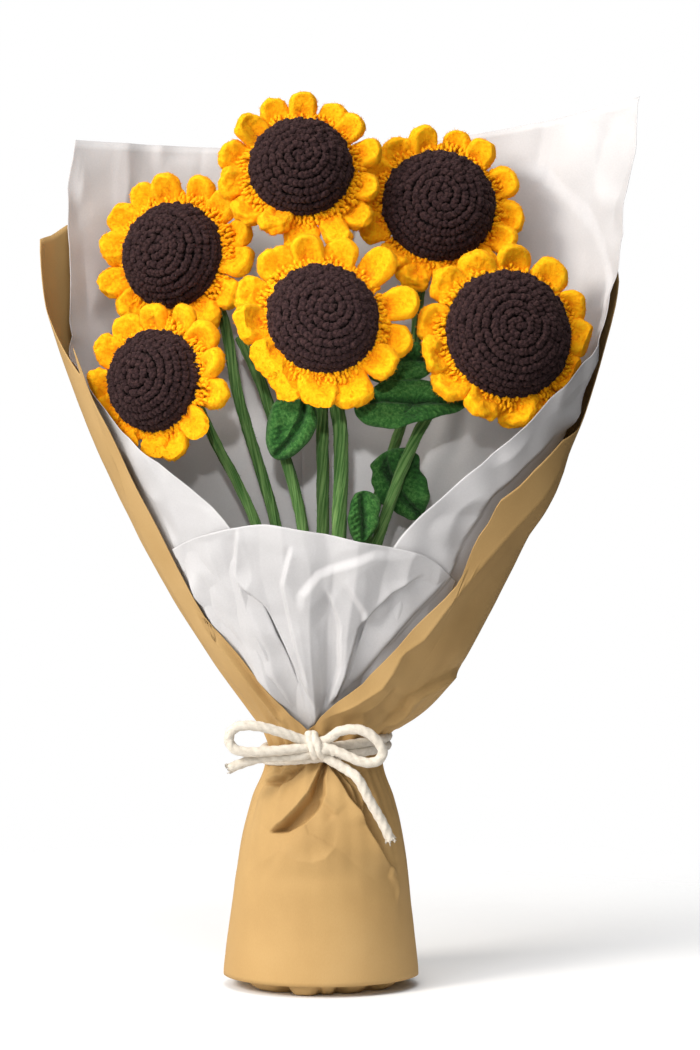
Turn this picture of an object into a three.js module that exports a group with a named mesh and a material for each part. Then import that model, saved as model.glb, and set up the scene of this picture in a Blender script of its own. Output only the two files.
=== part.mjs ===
// A bunch of six crocheted sunflowers on yarn-wrapped wire stems, with crocheted leaves, rolled in
// tissue and kraft paper, tied at the waist with a cotton cord bow and standing on its paper skirt.
// Millimetres. +Z is up, the flowers face -Y, and the origin is the centre of the foot, on the floor.
import * as THREE from "three";

const { clamp, degToRad, lerp } = THREE.MathUtils;

// ---------- driving dimensions ----------
const footHalfWidth = 48;
const footHalfDepth = 44;
const tuckHeight = 6.2; // the paper that is folded in under the skirt
const waistHeight = 121; // the tie, above the floor
const waistHalfWidth = 26;
const waistHalfDepth = 20;
const stemRise = 235; // from the tie to the middle of the flower cluster
const headRadius = 45; // petal tip of a flower of scale 1
const discShare = 0.635; // brown disc's radius as a share of its own flower's radius
const discHeight = 17;
const coverThickness = 3; // crocheted fabric over the stuffing
const petalThickness = 7.5;
const calyxDepth = 8;
const stemDiameter = 6;
const wireDiameter = 2.2;
const leafThickness = 3;
const cordDiameter = 5;
const kraftThickness = 0.8; // stands in for thinner paper that is folded and pleated
const tissueThickness = 0.6;
const fitGap = 0.35; // clearance between pieces that touch
const sheetGap = 1.4; // air between two sheets of paper
const pleatHeight = 2.6; // the gathered paper's pleats under the tie

// ---------- the paper roll's size ----------
const clusterHeight = waistHeight + stemRise;
const mouthHeight = clusterHeight + 2.09 * headRadius; // highest corner of the tissue
const mouthHalf = {
  left: 3.51 * headRadius,
  right: 3.82 * headRadius,
  back: 1.7 * headRadius,
  front: 1.42 * headRadius,
};
const waistHalf = {
  left: waistHalfWidth - 1,
  right: waistHalfWidth + 2,
  back: waistHalfDepth,
  front: waistHalfDepth,
};
const footHalf = {
  left: footHalfWidth,
  right: footHalfWidth,
  back: footHalfDepth,
  front: footHalfDepth,
};

// How far the paper has opened, 0 at the tie to 1 at the foot or the mouth, as [share of height, value].
const skirtFlare = [[0, 1], [0.08, 1], [0.36, 0.8], [0.61, 0.62], [0.78, 0.38], [0.89, 0.12], [1, 0]];
const mouthFlare = {
  left: [
    [0, 0], [0.03, 0.034], [0.06, 0.09], [0.12, 0.2], [0.23, 0.376],
    [0.353, 0.534], [0.486, 0.684], [0.61, 0.797], [0.77, 0.9], [1, 1],
  ],
  right: [
    [0, 0], [0.03, 0.063], [0.06, 0.175], [0.12, 0.283], [0.23, 0.42],
    [0.353, 0.56], [0.486, 0.7], [0.61, 0.79], [0.77, 0.888], [1, 1],
  ],
  back: [[0, 0], [0.03, 0.05], [0.12, 0.3], [0.353, 0.61], [0.61, 0.84], [1, 1]],
  front: [[0, 0], [0.03, 0.07], [0.12, 0.36], [0.353, 0.82], [0.61, 0.98], [1, 1]],
};

// A smooth value at t through [t, value] pairs in rising order.
function along(pairs, t) {
  let i = 0;
  while (i < pairs.length - 2 && t > pairs[i + 1][0]) i += 1;
  const [a, b] = [pairs[i], pairs[i + 1]];
  const before = pairs[Math.max(i - 1, 0)];
  const after = pairs[Math.min(i + 2, pairs.length - 1)];
  const span = b[0] - a[0];
  const u = clamp((t - a[0]) / span, 0, 1);
  const slopeA = ((b[1] - before[1]) / (b[0] - before[0])) * span;
  const slopeB = ((after[1] - a[1]) / (after[0] - a[0])) * span;
  const [u2, u3] = [u * u, u * u * u];
  const ends = (2 * u3 - 3 * u2 + 1) * a[1] + (3 * u2 - 2 * u3) * b[1];
  return ends + (u3 - 2 * u2 + u) * slopeA + (u3 - u2) * slopeB;
}

// Half the roll's size towards one side at height z.
function halfAt(side, z) {
  if (z <= waistHeight) {
    return lerp(waistHalf[side], footHalf[side], along(skirtFlare, z / waistHeight));
  }
  const share = (z - waistHeight) / (mouthHeight - waistHeight);
  return lerp(waistHalf[side], mouthHalf[side], along(mouthFlare[side], share));
}

// A point of the paper roll. The angle is in degrees: 0 right, 90 back, 180 left, 270 front.
function rollPoint(angle, z, offset) {
  const [c, s] = [Math.cos(degToRad(angle)), Math.sin(degToRad(angle))];
  const x = (halfAt(c > 0 ? "right" : "left", z) + offset) * c;
  const y = (halfAt(s > 0 ? "back" : "front", z) + offset) * s;
  return new THREE.Vector3(x, y, z);
}

// ---------- shared builders ----------
const bunch = new THREE.Group();

function addMesh(name, geometry, material, parent = bunch) {
  const mesh = new THREE.Mesh(geometry, material.clone());
  mesh.name = name;
  parent.add(mesh);
  return mesh;
}

function matte(color, roughness) {
  return new THREE.MeshStandardMaterial({ color, roughness, metalness: 0 });
}

const yellowYarn = matte(0xf6a70c, 0.9);
const brownYarn = matte(0x3c2422, 0.95);
const greenYarn = matte(0x34602a, 0.9);
const whiteFibre = matte(0xf2f0ea, 1);
const steelWire = new THREE.MeshStandardMaterial({ color: 0x8c8f8a, roughness: 0.4, metalness: 1 });
const kraftPaper = matte(0xcfa05f, 0.8);
const tissuePaper = matte(0xf0efed, 0.6);
const cottonCord = matte(0xece5d8, 0.9);

// A closed solid between two facing grids of points. A ring joins its last column to its first.
function shellFromGrids(outer, inner, ring) {
  const [columns, rows] = [outer.length, outer[0].length];
  const positions = [outer, inner].flat(2).flatMap((p) => p.toArray());
  const at = (layer, i, j) => layer * columns * rows + (i % columns) * rows + j;
  const index = [];
  const quad = (a, b, c, d) => index.push(a, b, c, a, c, d);
  const spans = ring ? columns : columns - 1;
  for (let i = 0; i < spans; i += 1) {
    for (let j = 0; j < rows - 1; j += 1) {
      quad(at(0, i, j), at(0, i + 1, j), at(0, i + 1, j + 1), at(0, i, j + 1));
      quad(at(1, i, j), at(1, i, j + 1), at(1, i + 1, j + 1), at(1, i + 1, j));
    }
    quad(at(0, i, 0), at(1, i, 0), at(1, i + 1, 0), at(0, i + 1, 0));
    quad(at(0, i, rows - 1), at(0, i + 1, rows - 1), at(1, i + 1, rows - 1), at(1, i, rows - 1));
  }
  const last = columns - 1;
  for (let j = 0; j < rows - 1 && !ring; j += 1) {
    quad(at(0, 0, j), at(0, 0, j + 1), at(1, 0, j + 1), at(1, 0, j));
    quad(at(0, last, j), at(1, last, j), at(1, last, j + 1), at(0, last, j + 1));
  }
  const geometry = new THREE.BufferGeometry();
  geometry.setAttribute("position", new THREE.Float32BufferAttribute(positions, 3));
  geometry.setIndex(index);
  geometry.computeVertexNormals();
  return geometry;
}

// A sheet of the roll. spot(s, t) gives its angle and height, with s across it and t up it.
function sheetGeometry({ columns, rows, spot, offset, thickness, ring = false }) {
  const columnList = Array.from({ length: ring ? columns : columns + 1 }, (_, i) => i / columns);
  const rowList = Array.from({ length: rows + 1 }, (_, j) => j / rows);
  const grid = (distance) => columnList.map((s) => rowList.map((t) => rollPoint(...spot(s, t), distance)));
  return shellFromGrids(grid(offset + thickness), grid(offset), ring);
}

function circleShape(radius, sides) {
  const shape = new THREE.Shape();
  for (let i = 0; i < sides; i += 1) {
    const a = (2 * Math.PI * i) / sides;
    shape[i ? "lineTo" : "moveTo"](radius * Math.cos(a), radius * Math.sin(a));
  }
  shape.closePath();
  return shape;
}

function tube(points, radius, sides, steps, boreRadius = 0) {
  const shape = circleShape(radius, sides);
  if (boreRadius) shape.holes.push(circleShape(boreRadius, 6));
  const extrudePath = new THREE.CatmullRomCurve3(points, false, "centripetal");
  return new THREE.ExtrudeGeometry(shape, { steps, extrudePath });
}

// Turned about the local Z, from [radius, height] pairs.
function lathe(profile, segments) {
  const points = profile.map(([r, h]) => new THREE.Vector2(r, h));
  return new THREE.LatheGeometry(points, segments).rotateX(Math.PI / 2);
}

// ---------- flowers ----------
// across, depth and up are in head radii from the middle of the cluster; turn and nod are in degrees,
// to the right and upwards; roll turns the petals about the disc.
const flowers = [
  {
    name: "lower_left", across: -1.71, depth: -0.42, up: -1.14,
    scale: 0.88, turn: -32, nod: 8, petals: 13, roll: 4,
  },
  {
    name: "upper_left", across: -1.64, depth: 0.4, up: 0.23,
    scale: 0.95, turn: -25, nod: 4, petals: 14, roll: 9,
  },
  {
    name: "top", across: -0.23, depth: 0.03, up: 1.18,
    scale: 0.9, turn: 0, nod: 16, petals: 14, roll: 0,
  },
  {
    name: "upper_right", across: 1.29, depth: 0.55, up: 0.77,
    scale: 0.95, turn: 6, nod: 12, petals: 14, roll: 7,
  },
  {
    name: "centre", across: -0.01, depth: -0.72, up: -0.48,
    scale: 1, turn: 10, nod: 14, petals: 13, roll: 2,
  },
  {
    name: "right", across: 1.94, depth: -0.25, up: -0.65,
    scale: 1.02, turn: 16, nod: 14, petals: 13, roll: 11,
  },
];

function headPlace({ across, depth, up, turn, nod }) {
  const [t, n] = [degToRad(turn), degToRad(nod)];
  const facing = new THREE.Vector3(Math.sin(t) * Math.cos(n), -Math.cos(t) * Math.cos(n), Math.sin(n));
  const middle = new THREE.Vector3(across, depth, up).multiplyScalar(headRadius);
  middle.z += clusterHeight;
  return { middle, facing };
}

// A group whose +Z is the way the head faces and whose +Y is its top.
function headGroup(place) {
  const { middle, facing } = headPlace(place);
  const side = new THREE.Vector3(0, 0, 1).cross(facing).normalize();
  const top = facing.clone().cross(side);
  const group = new THREE.Group();
  group.quaternion.setFromRotationMatrix(new THREE.Matrix4().makeBasis(side, top, facing));
  group.position.copy(middle);
  bunch.add(group);
  return group;
}

const domeSteps = 6;
const domeSides = 16;
const domeFullness = 0.75; // under 1 rounds the dome's shoulder out

// A dome's profile points from its rim to its crown.
function domeProfile(radius, height) {
  return Array.from({ length: domeSteps + 1 }, (_, i) => {
    const a = (Math.PI / 2) * (i / domeSteps);
    return [i === domeSteps ? 0 : radius * Math.cos(a) ** domeFullness, height * Math.sin(a)];
  });
}

function discCoverGeometry(radius) {
  const outer = domeProfile(radius, discHeight);
  const inner = domeProfile(radius - coverThickness, discHeight - coverThickness);
  return lathe([...inner.reverse(), ...outer], domeSides);
}

function stuffingGeometry(radius) {
  const spare = coverThickness + fitGap;
  return lathe([[0, 0], ...domeProfile(radius - spare, discHeight - spare)], domeSides);
}

// One scalloped plate, open in the middle under the disc.
function petalRingGeometry(tip, holeRadius, count, roll) {
  const notch = tip * 0.8; // where two petals meet
  const corners = 5; // outline points to a petal
  const shape = new THREE.Shape();
  for (let i = 0; i < count * corners; i += 1) {
    const share = (i % corners) / corners;
    const a = (2 * Math.PI * i) / (count * corners) + degToRad(roll);
    const r = lerp(notch, tip, Math.sin(Math.PI * share) ** 0.7);
    shape[i ? "lineTo" : "moveTo"](r * Math.cos(a), r * Math.sin(a));
  }
  shape.closePath();
  shape.holes.push(circleShape(holeRadius, domeSides));
  return new THREE.ExtrudeGeometry(shape, { depth: petalThickness, bevelEnabled: false });
}

// The green cup behind a head, from the stem's top to just behind the petals.
function calyxGeometry(radius) {
  const neck = stemDiameter / 2 + 1;
  const shoulder = [radius * 0.7, -calyxDepth * 0.6];
  return lathe([[0, -calyxDepth], [neck, -calyxDepth], shoulder, [radius, -fitGap], [0, -fitGap]], 14);
}

for (const flower of flowers) {
  const group = headGroup(flower);
  const tip = headRadius * flower.scale;
  const discRadius = tip * discShare;
  const ring = petalRingGeometry(tip, discRadius * 0.6, flower.petals, flower.roll);
  addMesh(`petals_${flower.name}`, ring, yellowYarn, group);
  const front = petalThickness + fitGap;
  addMesh(`disc_cover_${flower.name}`, discCoverGeometry(discRadius), brownYarn, group).position.z = front;
  addMesh(`stuffing_${flower.name}`, stuffingGeometry(discRadius), whiteFibre, group).position.z = front;
  addMesh(`calyx_${flower.name}`, calyxGeometry(discRadius * 0.9), greenYarn, group);
}

// ---------- stems ----------
// bundle is the stem's place round the bundle at the tie in degrees, or null for its middle.
// bends are [share of the rise from the tie to the cluster, across, depth], the last two in head radii.
const stems = [
  {
    name: "lower_left",
    bundle: 210,
    bends: [[0.2, -0.27, -0.14], [0.485, -0.74, -0.2], [0.66, -1.2, -0.12]],
  },
  {
    name: "upper_left",
    bundle: 150,
    bends: [[0.2, -0.22, 0.02], [0.485, -0.52, 0.02], [0.736, -0.91, 0.12], [0.9, -1.08, 0.3]],
  },
  { name: "top", bundle: null, bends: [[0.45, 0.02, 0.1], [0.75, 0.0, 0.3], [1.0, -0.1, 0.5]] },
  {
    name: "upper_right",
    bundle: 90,
    bends: [[0.2, 0.2, 0.3], [0.5, 0.6, 0.5], [0.75, 1.0, 0.7], [0.95, 1.1, 0.95]],
  },
  { name: "centre", bundle: 330, bends: [[0.2, 0.15, -0.16], [0.455, 0.2, -0.24], [0.7, 0.2, -0.24]] },
  { name: "right", bundle: 30, bends: [[0.2, 0.3, 0.05], [0.45, 0.65, 0.05], [0.7, 1.18, 0.12]] },
];
const leafStalk = {
  name: "leaf_stalk",
  bundle: 270,
  bends: [
    [0.2, -0.05, -0.2], [0.477, -0.21, -0.26], [0.62, -0.4, -0.18], [0.78, -0.68, 0.0],
    [0.87, -0.9, 0.12],
  ],
};
const bundleSpread = 2.1; // how much wider the bundle stands at the floor than at the tie
const stemSides = 8;

function stemPoints({ bundle, bends }, ending) {
  const ringRadius = bundle === null ? 0 : stemDiameter + 2 * fitGap;
  const a = degToRad(bundle ?? 0);
  const [x, y] = [ringRadius * Math.cos(a), ringRadius * Math.sin(a)];
  const bend = ([share, across, depth]) =>
    new THREE.Vector3(across * headRadius, depth * headRadius, waistHeight + share * stemRise);
  return [
    new THREE.Vector3(x * bundleSpread, y * bundleSpread, tuckHeight + 2 * fitGap),
    new THREE.Vector3(x * 1.5, y * 1.5, waistHeight * 0.6),
    new THREE.Vector3(x, y, waistHeight),
    ...bends.map(bend),
    ...ending,
  ];
}

function addStem(stem, ending, steps) {
  const points = stemPoints(stem, ending);
  const bore = wireDiameter / 2 + fitGap;
  addMesh(`stem_wrap_${stem.name}`, tube(points, stemDiameter / 2, stemSides, steps, bore), greenYarn);
  addMesh(`stem_wire_${stem.name}`, tube(points, wireDiameter / 2, 6, steps), steelWire);
}

for (const stem of stems) {
  const { middle, facing } = headPlace(flowers.find((flower) => flower.name === stem.name));
  const behind = (distance) => middle.clone().addScaledVector(facing, -distance);
  const top = calyxDepth + fitGap;
  addStem(stem, [behind(top + 2.2 * stemDiameter), behind(top)], 13);
}
addStem(leafStalk, [], 11);

// ---------- leaves ----------
// Placed as the flowers are. pointing turns the tip about the facing axis, in degrees from the right,
// and curl is how far the sides bend forward, as a share of the width.
const leaves = [
  {
    name: "stalk",
    across: -0.36, depth: -0.42, up: -1.66,
    length: 34, width: 25, turn: 10, nod: 0, pointing: -112, curl: 0.22,
  },
  {
    name: "behind_wide",
    across: 1.02, depth: -0.32, up: -1.42,
    length: 58, width: 24, turn: 5, nod: 28, pointing: 8, curl: 0.12,
  },
  {
    name: "behind_small",
    across: 0.92, depth: 0.16, up: -1.02,
    length: 34, width: 20, turn: -10, nod: 25, pointing: 200, curl: 0.1,
  },
  {
    name: "low_right",
    across: 0.92, depth: 0.36, up: -2.34,
    length: 38, width: 28, turn: -12, nod: 5, pointing: -60, curl: 0.18,
  },
  {
    name: "low_centre",
    across: 0.46, depth: -0.12, up: -2.68,
    length: 27, width: 14, turn: 8, nod: 8, pointing: -100, curl: 0.2,
  },
];

function leafGeometry({ length, width, curl }) {
  const cells = 8;
  const steps = Array.from({ length: cells + 1 }, (_, i) => i / cells);
  const halfWidth = (t) => (width / 2) * (0.16 + 0.84 * Math.sin(Math.PI * (0.04 + 0.96 * t)) ** 0.8);
  const grid = (z) =>
    steps.map((across) =>
      steps.map((t) => {
        const s = 2 * across - 1;
        const half = halfWidth(t);
        return new THREE.Vector3(length * (t - 0.5), s * half, z + 2 * curl * half * s * s);
      }),
    );
  return shellFromGrids(grid(0), grid(leafThickness), false);
}

for (const leaf of leaves) {
  const geometry = leafGeometry(leaf).rotateZ(degToRad(leaf.pointing));
  addMesh(`leaf_${leaf.name}`, geometry, greenYarn, headGroup(leaf));
}

// ---------- paper ----------
// Rise of the kraft roll's open edge above the tie, round the roll, as [angle, rise]. It is low in front
// and high behind.
const neckline = [
  [-95, 9], [-81, 25], [-73, 35], [-66, 45], [-60, 55], [-54, 64], [-49, 78], [-44, 97], [-36, 118],
  [-26, 138], [-14, 152], [-4, 165], [3, 215], [12, 236], [25, 262], [45, 285], [78, 299], [110, 290],
  [140, 268], [160, 254], [168, 252], [176, 225], [186, 200], [200, 178], [208, 147], [212, 100],
  [217, 58], [228, 30], [245, 18], [265, 9],
];
const neckStart = neckline[0][0];
const kraftRows = 12;
const skirtRows = 5; // of the rows, those below the tie
const skirtFoot = tuckHeight + fitGap;

function kraftSpot(s, t) {
  const angle = neckStart + 360 * s;
  const row = t * kraftRows;
  if (row <= skirtRows) return [angle, lerp(skirtFoot, waistHeight, row / skirtRows)];
  const share = (row - skirtRows) / (kraftRows - skirtRows);
  return [angle, waistHeight + along(neckline, angle) * share ** 1.15];
}

// Tissue edges from bottom to top, as [share of the way, angle, rise above the tie].
const leftFront = [
  [0, 262, 8], [0.25, 246, 80], [0.42, 240, 114], [0.55, 222, 142], [0.64, 206, 162],
  [0.74, 190, 188], [0.82, 167, 208], [1, 146, 303],
];
const leftBack = [[0, 94, 8], [1, 93, 306]];
const rightFront = [
  [0, 278, 8], [0.2, 286, 64], [0.34, 292, 104], [0.46, 308, 136], [0.58, 327, 168],
  [0.66, 339, 185], [0.74, 354, 208], [0.86, 368, 262], [1, 378, 325],
];
const rightBack = [[0, 446, 8], [1, 447, 292]];

// The sheet between two such edges.
function betweenEdges(first, second) {
  const column = (edge, k, t) => along(edge.map((point) => [point[0], point[k]]), t);
  const across = (k, s, t) => lerp(column(first, k, t), column(second, k, t), s);
  return (s, t) => [across(1, s, t), waistHeight + across(2, s, t)];
}

const bibTop = [[215, 103], [232, 109], [252, 114], [263, 112], [291, 102.5], [302, 98], [315, 86]];
const bibFoot = 8; // rise of the front sheet's lower edge above the tie

function bibSpot(s, t) {
  const angle = lerp(bibTop[0][0], bibTop.at(-1)[0], s);
  return [angle, waistHeight + lerp(bibFoot, along(bibTop, angle), t)];
}

const layerStep = tissueThickness + sheetGap; // from one sheet to the next one inside it
const tissueSheets = [
  { name: "tissue_sheet_left", columns: 14, rows: 9, layer: 2, spot: betweenEdges(leftBack, leftFront) },
  { name: "tissue_sheet_right", columns: 14, rows: 9, layer: 2, spot: betweenEdges(rightFront, rightBack) },
  { name: "tissue_bib", columns: 10, rows: 5, layer: 1, spot: bibSpot },
];

const kraftSheet = { columns: 36, rows: kraftRows, ring: true, spot: kraftSpot, offset: 0 };
addMesh("kraft_sheet", sheetGeometry({ ...kraftSheet, thickness: kraftThickness }), kraftPaper);
for (const { name, layer, ...sheet } of tissueSheets) {
  const placed = { ...sheet, offset: -layer * layerStep, thickness: tissueThickness };
  addMesh(name, sheetGeometry(placed), tissuePaper);
}

// The skirt's lower edge is folded in under it, and its folds make the flat foot.
function tuckGeometry() {
  const inset = 2;
  const corners = 28;
  const shape = new THREE.Shape();
  for (let i = 0; i < corners; i += 1) {
    const p = rollPoint((360 * i) / corners, skirtFoot, -inset - (i % 2));
    shape[i ? "lineTo" : "moveTo"](p.x, p.y);
  }
  shape.closePath();
  return new THREE.ExtrudeGeometry(shape, { depth: tuckHeight, bevelEnabled: false });
}
addMesh("foot_tuck", tuckGeometry(), kraftPaper);

// ---------- tie ----------
const cordRadius = cordDiameter / 2;
const cordSides = 8;
const knotAngle = 266;
const knotGap = 24; // degrees of the band that the knot takes up, to each side
const tieOffset = kraftThickness + fitGap + cordRadius + pleatHeight;
const knotMiddle = rollPoint(knotAngle, waistHeight + 3, tieOffset + 1.5);

function tieBandPoints() {
  const count = 20;
  const turn = 360 - 2 * knotGap;
  return Array.from({ length: count + 1 }, (_, i) =>
    rollPoint(knotAngle + knotGap + (turn * i) / count, waistHeight, tieOffset),
  );
}

// Cord routes from the knot, as [across, up, forward] in cord diameters.
const cordRoutes = {
  bow_loop_left: [
    [-1.35, 0.65, 0.5], [-3.1, 1.3, 1], [-5.4, 2, 1.4], [-7.1, 2.15, 1.5], [-8.2, 1.75, 1.5],
    [-8.6, 0.8, 1.4], [-8.1, -0.15, 1.4], [-6.7, -0.5, 1.4], [-4.1, -0.4, 1.2], [-1.5, -0.2, 0.7],
  ],
  bow_loop_right: [
    [1.3, 0.75, 0.6], [2.3, 1.5, 1], [4, 1.75, 1.3], [5.3, 1.3, 1.4], [6.3, 0.3, 1.4],
    [6.6, -0.7, 1.3], [5.9, -1.5, 1.2], [4.5, -1.5, 1.1], [2.8, -0.8, 0.9], [1.5, -0.25, 0.7],
  ],
  tie_tail_left: [
    [-1.35, -1.2, 0.55], [-3.7, -1.5, 0.65], [-6.2, -1.65, 0.5], [-7.7, -1.95, 0.35], [-8.5, -2.4, 0.3],
  ],
  tie_tail_right: [
    [1.0, -1.3, 0.1], [2.8, -2.2, 0.7], [4.1, -3.1, 1.35], [5.3, -5.3, 1.3], [6.6, -7.6, 1.1],
    [7.4, -9.3, 0.9],
  ],
};

function fromKnot([across, up, forward]) {
  return new THREE.Vector3(across, -forward, up).multiplyScalar(cordDiameter).add(knotMiddle);
}

addMesh("tie_band", tube(tieBandPoints(), cordRadius, cordSides, 28), cottonCord);
const knotGeometry = new THREE.SphereGeometry(cordDiameter * 1.15, 10, 7);
addMesh("tie_knot", knotGeometry, cottonCord).position.copy(knotMiddle);
for (const [name, route] of Object.entries(cordRoutes)) {
  const steps = route.length * 2 - 2;
  addMesh(name, tube(route.map(fromKnot), cordRadius, cordSides, steps), cottonCord);
}

export default bunch;
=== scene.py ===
import math

import bpy
import numpy as np
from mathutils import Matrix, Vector


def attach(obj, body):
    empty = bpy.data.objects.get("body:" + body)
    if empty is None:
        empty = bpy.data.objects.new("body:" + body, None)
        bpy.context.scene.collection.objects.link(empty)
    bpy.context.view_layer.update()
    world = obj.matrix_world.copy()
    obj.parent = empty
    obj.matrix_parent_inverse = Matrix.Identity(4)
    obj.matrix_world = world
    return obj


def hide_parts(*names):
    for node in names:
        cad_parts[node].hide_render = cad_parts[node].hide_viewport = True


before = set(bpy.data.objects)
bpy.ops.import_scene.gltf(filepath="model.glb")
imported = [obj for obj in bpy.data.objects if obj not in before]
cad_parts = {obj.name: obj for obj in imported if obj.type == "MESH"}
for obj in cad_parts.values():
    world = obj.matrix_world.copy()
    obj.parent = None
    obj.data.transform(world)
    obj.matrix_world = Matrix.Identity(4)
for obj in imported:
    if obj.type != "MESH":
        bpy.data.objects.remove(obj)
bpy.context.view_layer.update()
scene = bpy.context.scene
scene.view_settings.view_transform = "Standard"  # keeps yellow yarn as saturated as its dye
mm = 0.001


def linear(hexColour):  # sRGB hex to linear RGBA
    parts = [int(hexColour[i:i + 2], 16) / 255 for i in (1, 3, 5)]
    return [c / 12.92 if c <= 0.04045 else ((c + 0.055) / 1.055) ** 2.4 for c in parts] + [1.0]


def addNode(tree, kind, settings=None, links=None):
    node = tree.nodes.new(kind)
    for name, value in (settings or {}).items():
        if isinstance(name, int) or not hasattr(node, name):
            node.inputs[name].default_value = value
        else:
            setattr(node, name, value)
    for name, source in (links or {}).items():
        tree.links.new(source, node.inputs[name])
    return node


# camera, light and floor

view = {"aim": (0.0145, 0.0, 0.2315), "distance": 2.4, "elevation": 4.0, "frameHeight": 0.525}


def makeCamera():
    up = math.radians(view["elevation"])
    aim = Vector(view["aim"])
    camera = bpy.data.objects.new("camera", bpy.data.cameras.new("camera"))
    camera.data.sensor_width = 36
    camera.data.lens = 36 * view["distance"] / view["frameHeight"]
    camera.data.clip_end = 50
    camera.location = aim + view["distance"] * Vector((0, -math.cos(up), math.sin(up)))
    camera.rotation_euler = (math.pi / 2 - up, 0, 0)
    scene.collection.objects.link(camera)
    scene.camera = camera


studio = {
    "sky": (0.03, 1.0), "skyFrom": (-0.72, -0.42, 0.55), "skyRange": (-0.32, 0.9), "aim": (0.0, 0.0, 0.25),
    "floorTone": 0.93, "floorFade": (0.12, 0.55),
    "lamps": {
        "key": dict(place=(-1.45, -1.15, 1.3), size=0.6, watts=29.0, colour="#FFF9F0"),
        "fill": dict(place=(-1.15, -1.5, 1.15), size=0.9, watts=13.0, colour="#FBFBFF"),
        "above": dict(place=(0.0, -0.75, 1.55), size=0.6, watts=7.0, colour="#FFFFFF"),
        "back": dict(place=(0.1, 1.2, 1.2), size=1.2, watts=6.0, colour="#FFFFFF"),
        "mouth": dict(place=(-0.1, -2.2, 0.85), size=0.05, watts=110.0, colour="#FFFFFF",
                      beam=5.0, aim=(0.0, 0.0, 0.29)),  # a narrow soft beam into the paper's mouth
    },
}


def makeSky():  # white to the camera, and brighter from one side for everything else
    world = bpy.data.worlds.new("studio")
    scene.world = world
    world.use_nodes = True
    tree = world.node_tree
    tree.nodes.clear()
    path = addNode(tree, "ShaderNodeLightPath")
    place = addNode(tree, "ShaderNodeTexCoord")
    toward = addNode(tree, "ShaderNodeVectorMath", {"operation": "DOT_PRODUCT", 1: studio["skyFrom"]},
                     {0: place.outputs["Generated"]})
    soft = addNode(tree, "ShaderNodeMapRange",
                   {"From Min": studio["skyRange"][0], "From Max": studio["skyRange"][1],
                    "To Min": studio["sky"][0], "To Max": studio["sky"][1]},
                   {"Value": toward.outputs["Value"]})
    dim = addNode(tree, "ShaderNodeBackground", {"Color": (1, 1, 1, 1)}, {"Strength": soft.outputs["Result"]})
    white = addNode(tree, "ShaderNodeBackground", {"Color": (1, 1, 1, 1), "Strength": 1.0})
    both = addNode(tree, "ShaderNodeMixShader", {},
                   {0: path.outputs["Is Camera Ray"], 1: dim.outputs[0], 2: white.outputs[0]})
    addNode(tree, "ShaderNodeOutputWorld", {}, {"Surface": both.outputs[0]})


def makeLamp(name, look):
    lamp = bpy.data.lights.new(name, "SPOT" if "beam" in look else "AREA")
    if "beam" in look:
        lamp.spot_size = math.radians(look["beam"])
        lamp.spot_blend = 1.0
        lamp.shadow_soft_size = look["size"]
    else:
        lamp.size = look["size"]
    lamp.energy = look["watts"]
    lamp.color = linear(look["colour"])[:3]
    holder = bpy.data.objects.new(name, lamp)
    holder.location = look["place"]
    toward = Vector(look.get("aim", studio["aim"])) - holder.location
    holder.rotation_euler = toward.to_track_quat("-Z", "Y").to_euler()
    scene.collection.objects.link(holder)


def makeFloor():
    floor = bpy.data.objects.new("floor", bpy.data.meshes.new("floor"))
    floor.data.from_pydata([(-1, -1, 0), (1, -1, 0), (1, 1, 0), (-1, 1, 0)], [], [(0, 1, 2, 3)])
    scene.collection.objects.link(floor)
    paint = bpy.data.materials.new("matt white studio floor")  # fades into the white round it
    paint.use_nodes = True
    tree = paint.node_tree
    shader = tree.nodes["Principled BSDF"]
    shader.inputs["Base Color"].default_value = (*[studio["floorTone"]] * 3, 1)
    shader.inputs["Roughness"].default_value = 0.9
    shader.inputs["Specular IOR Level"].default_value = 0.0
    place = addNode(tree, "ShaderNodeTexCoord")
    reach = addNode(tree, "ShaderNodeVectorMath", {"operation": "LENGTH"}, {0: place.outputs["Object"]})
    fade = addNode(tree, "ShaderNodeMapRange",
                   {"interpolation_type": "SMOOTHSTEP", "From Min": studio["floorFade"][0],
                    "From Max": studio["floorFade"][1], "To Min": 1.0, "To Max": 0.0},
                   {"Value": reach.outputs["Value"]})
    tree.links.new(fade.outputs["Result"], shader.inputs["Alpha"])
    floor.data.materials.append(paint)


makeCamera()
makeSky()
for lampName, lampLook in studio["lamps"].items():
    makeLamp(lampName, lampLook)
makeFloor()
print("camera and studio ready")

# the paper roll: the same rule for its size at each height as the solid model has, in millimetres

roll = {
    "waistHeight": 121.0,
    "mouthHeight": 450.05,
    "footRise": 6.55,
    "waist": {"left": 25.0, "right": 28.0, "back": 20.0, "front": 20.0},
    "mouth": {"left": 157.95, "right": 171.9, "back": 76.5, "front": 63.9},
    "foot": {"left": 48.0, "right": 48.0, "back": 44.0, "front": 44.0},
    "skirtFlare": [(0, 1), (0.08, 1), (0.36, 0.8), (0.61, 0.62), (0.78, 0.38), (0.89, 0.12), (1, 0)],
    "mouthFlare": {
        "left": [(0, 0), (0.03, 0.034), (0.06, 0.09), (0.12, 0.2), (0.23, 0.376), (0.353, 0.534),
                 (0.486, 0.684), (0.61, 0.797), (0.77, 0.9), (1, 1)],
        "right": [(0, 0), (0.03, 0.063), (0.06, 0.175), (0.12, 0.283), (0.23, 0.42), (0.353, 0.56),
                  (0.486, 0.7), (0.61, 0.79), (0.77, 0.888), (1, 1)],
        "back": [(0, 0), (0.03, 0.05), (0.12, 0.3), (0.353, 0.61), (0.61, 0.84), (1, 1)],
        "front": [(0, 0), (0.03, 0.07), (0.12, 0.36), (0.353, 0.82), (0.61, 0.98), (1, 1)],
    },
}


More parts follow.
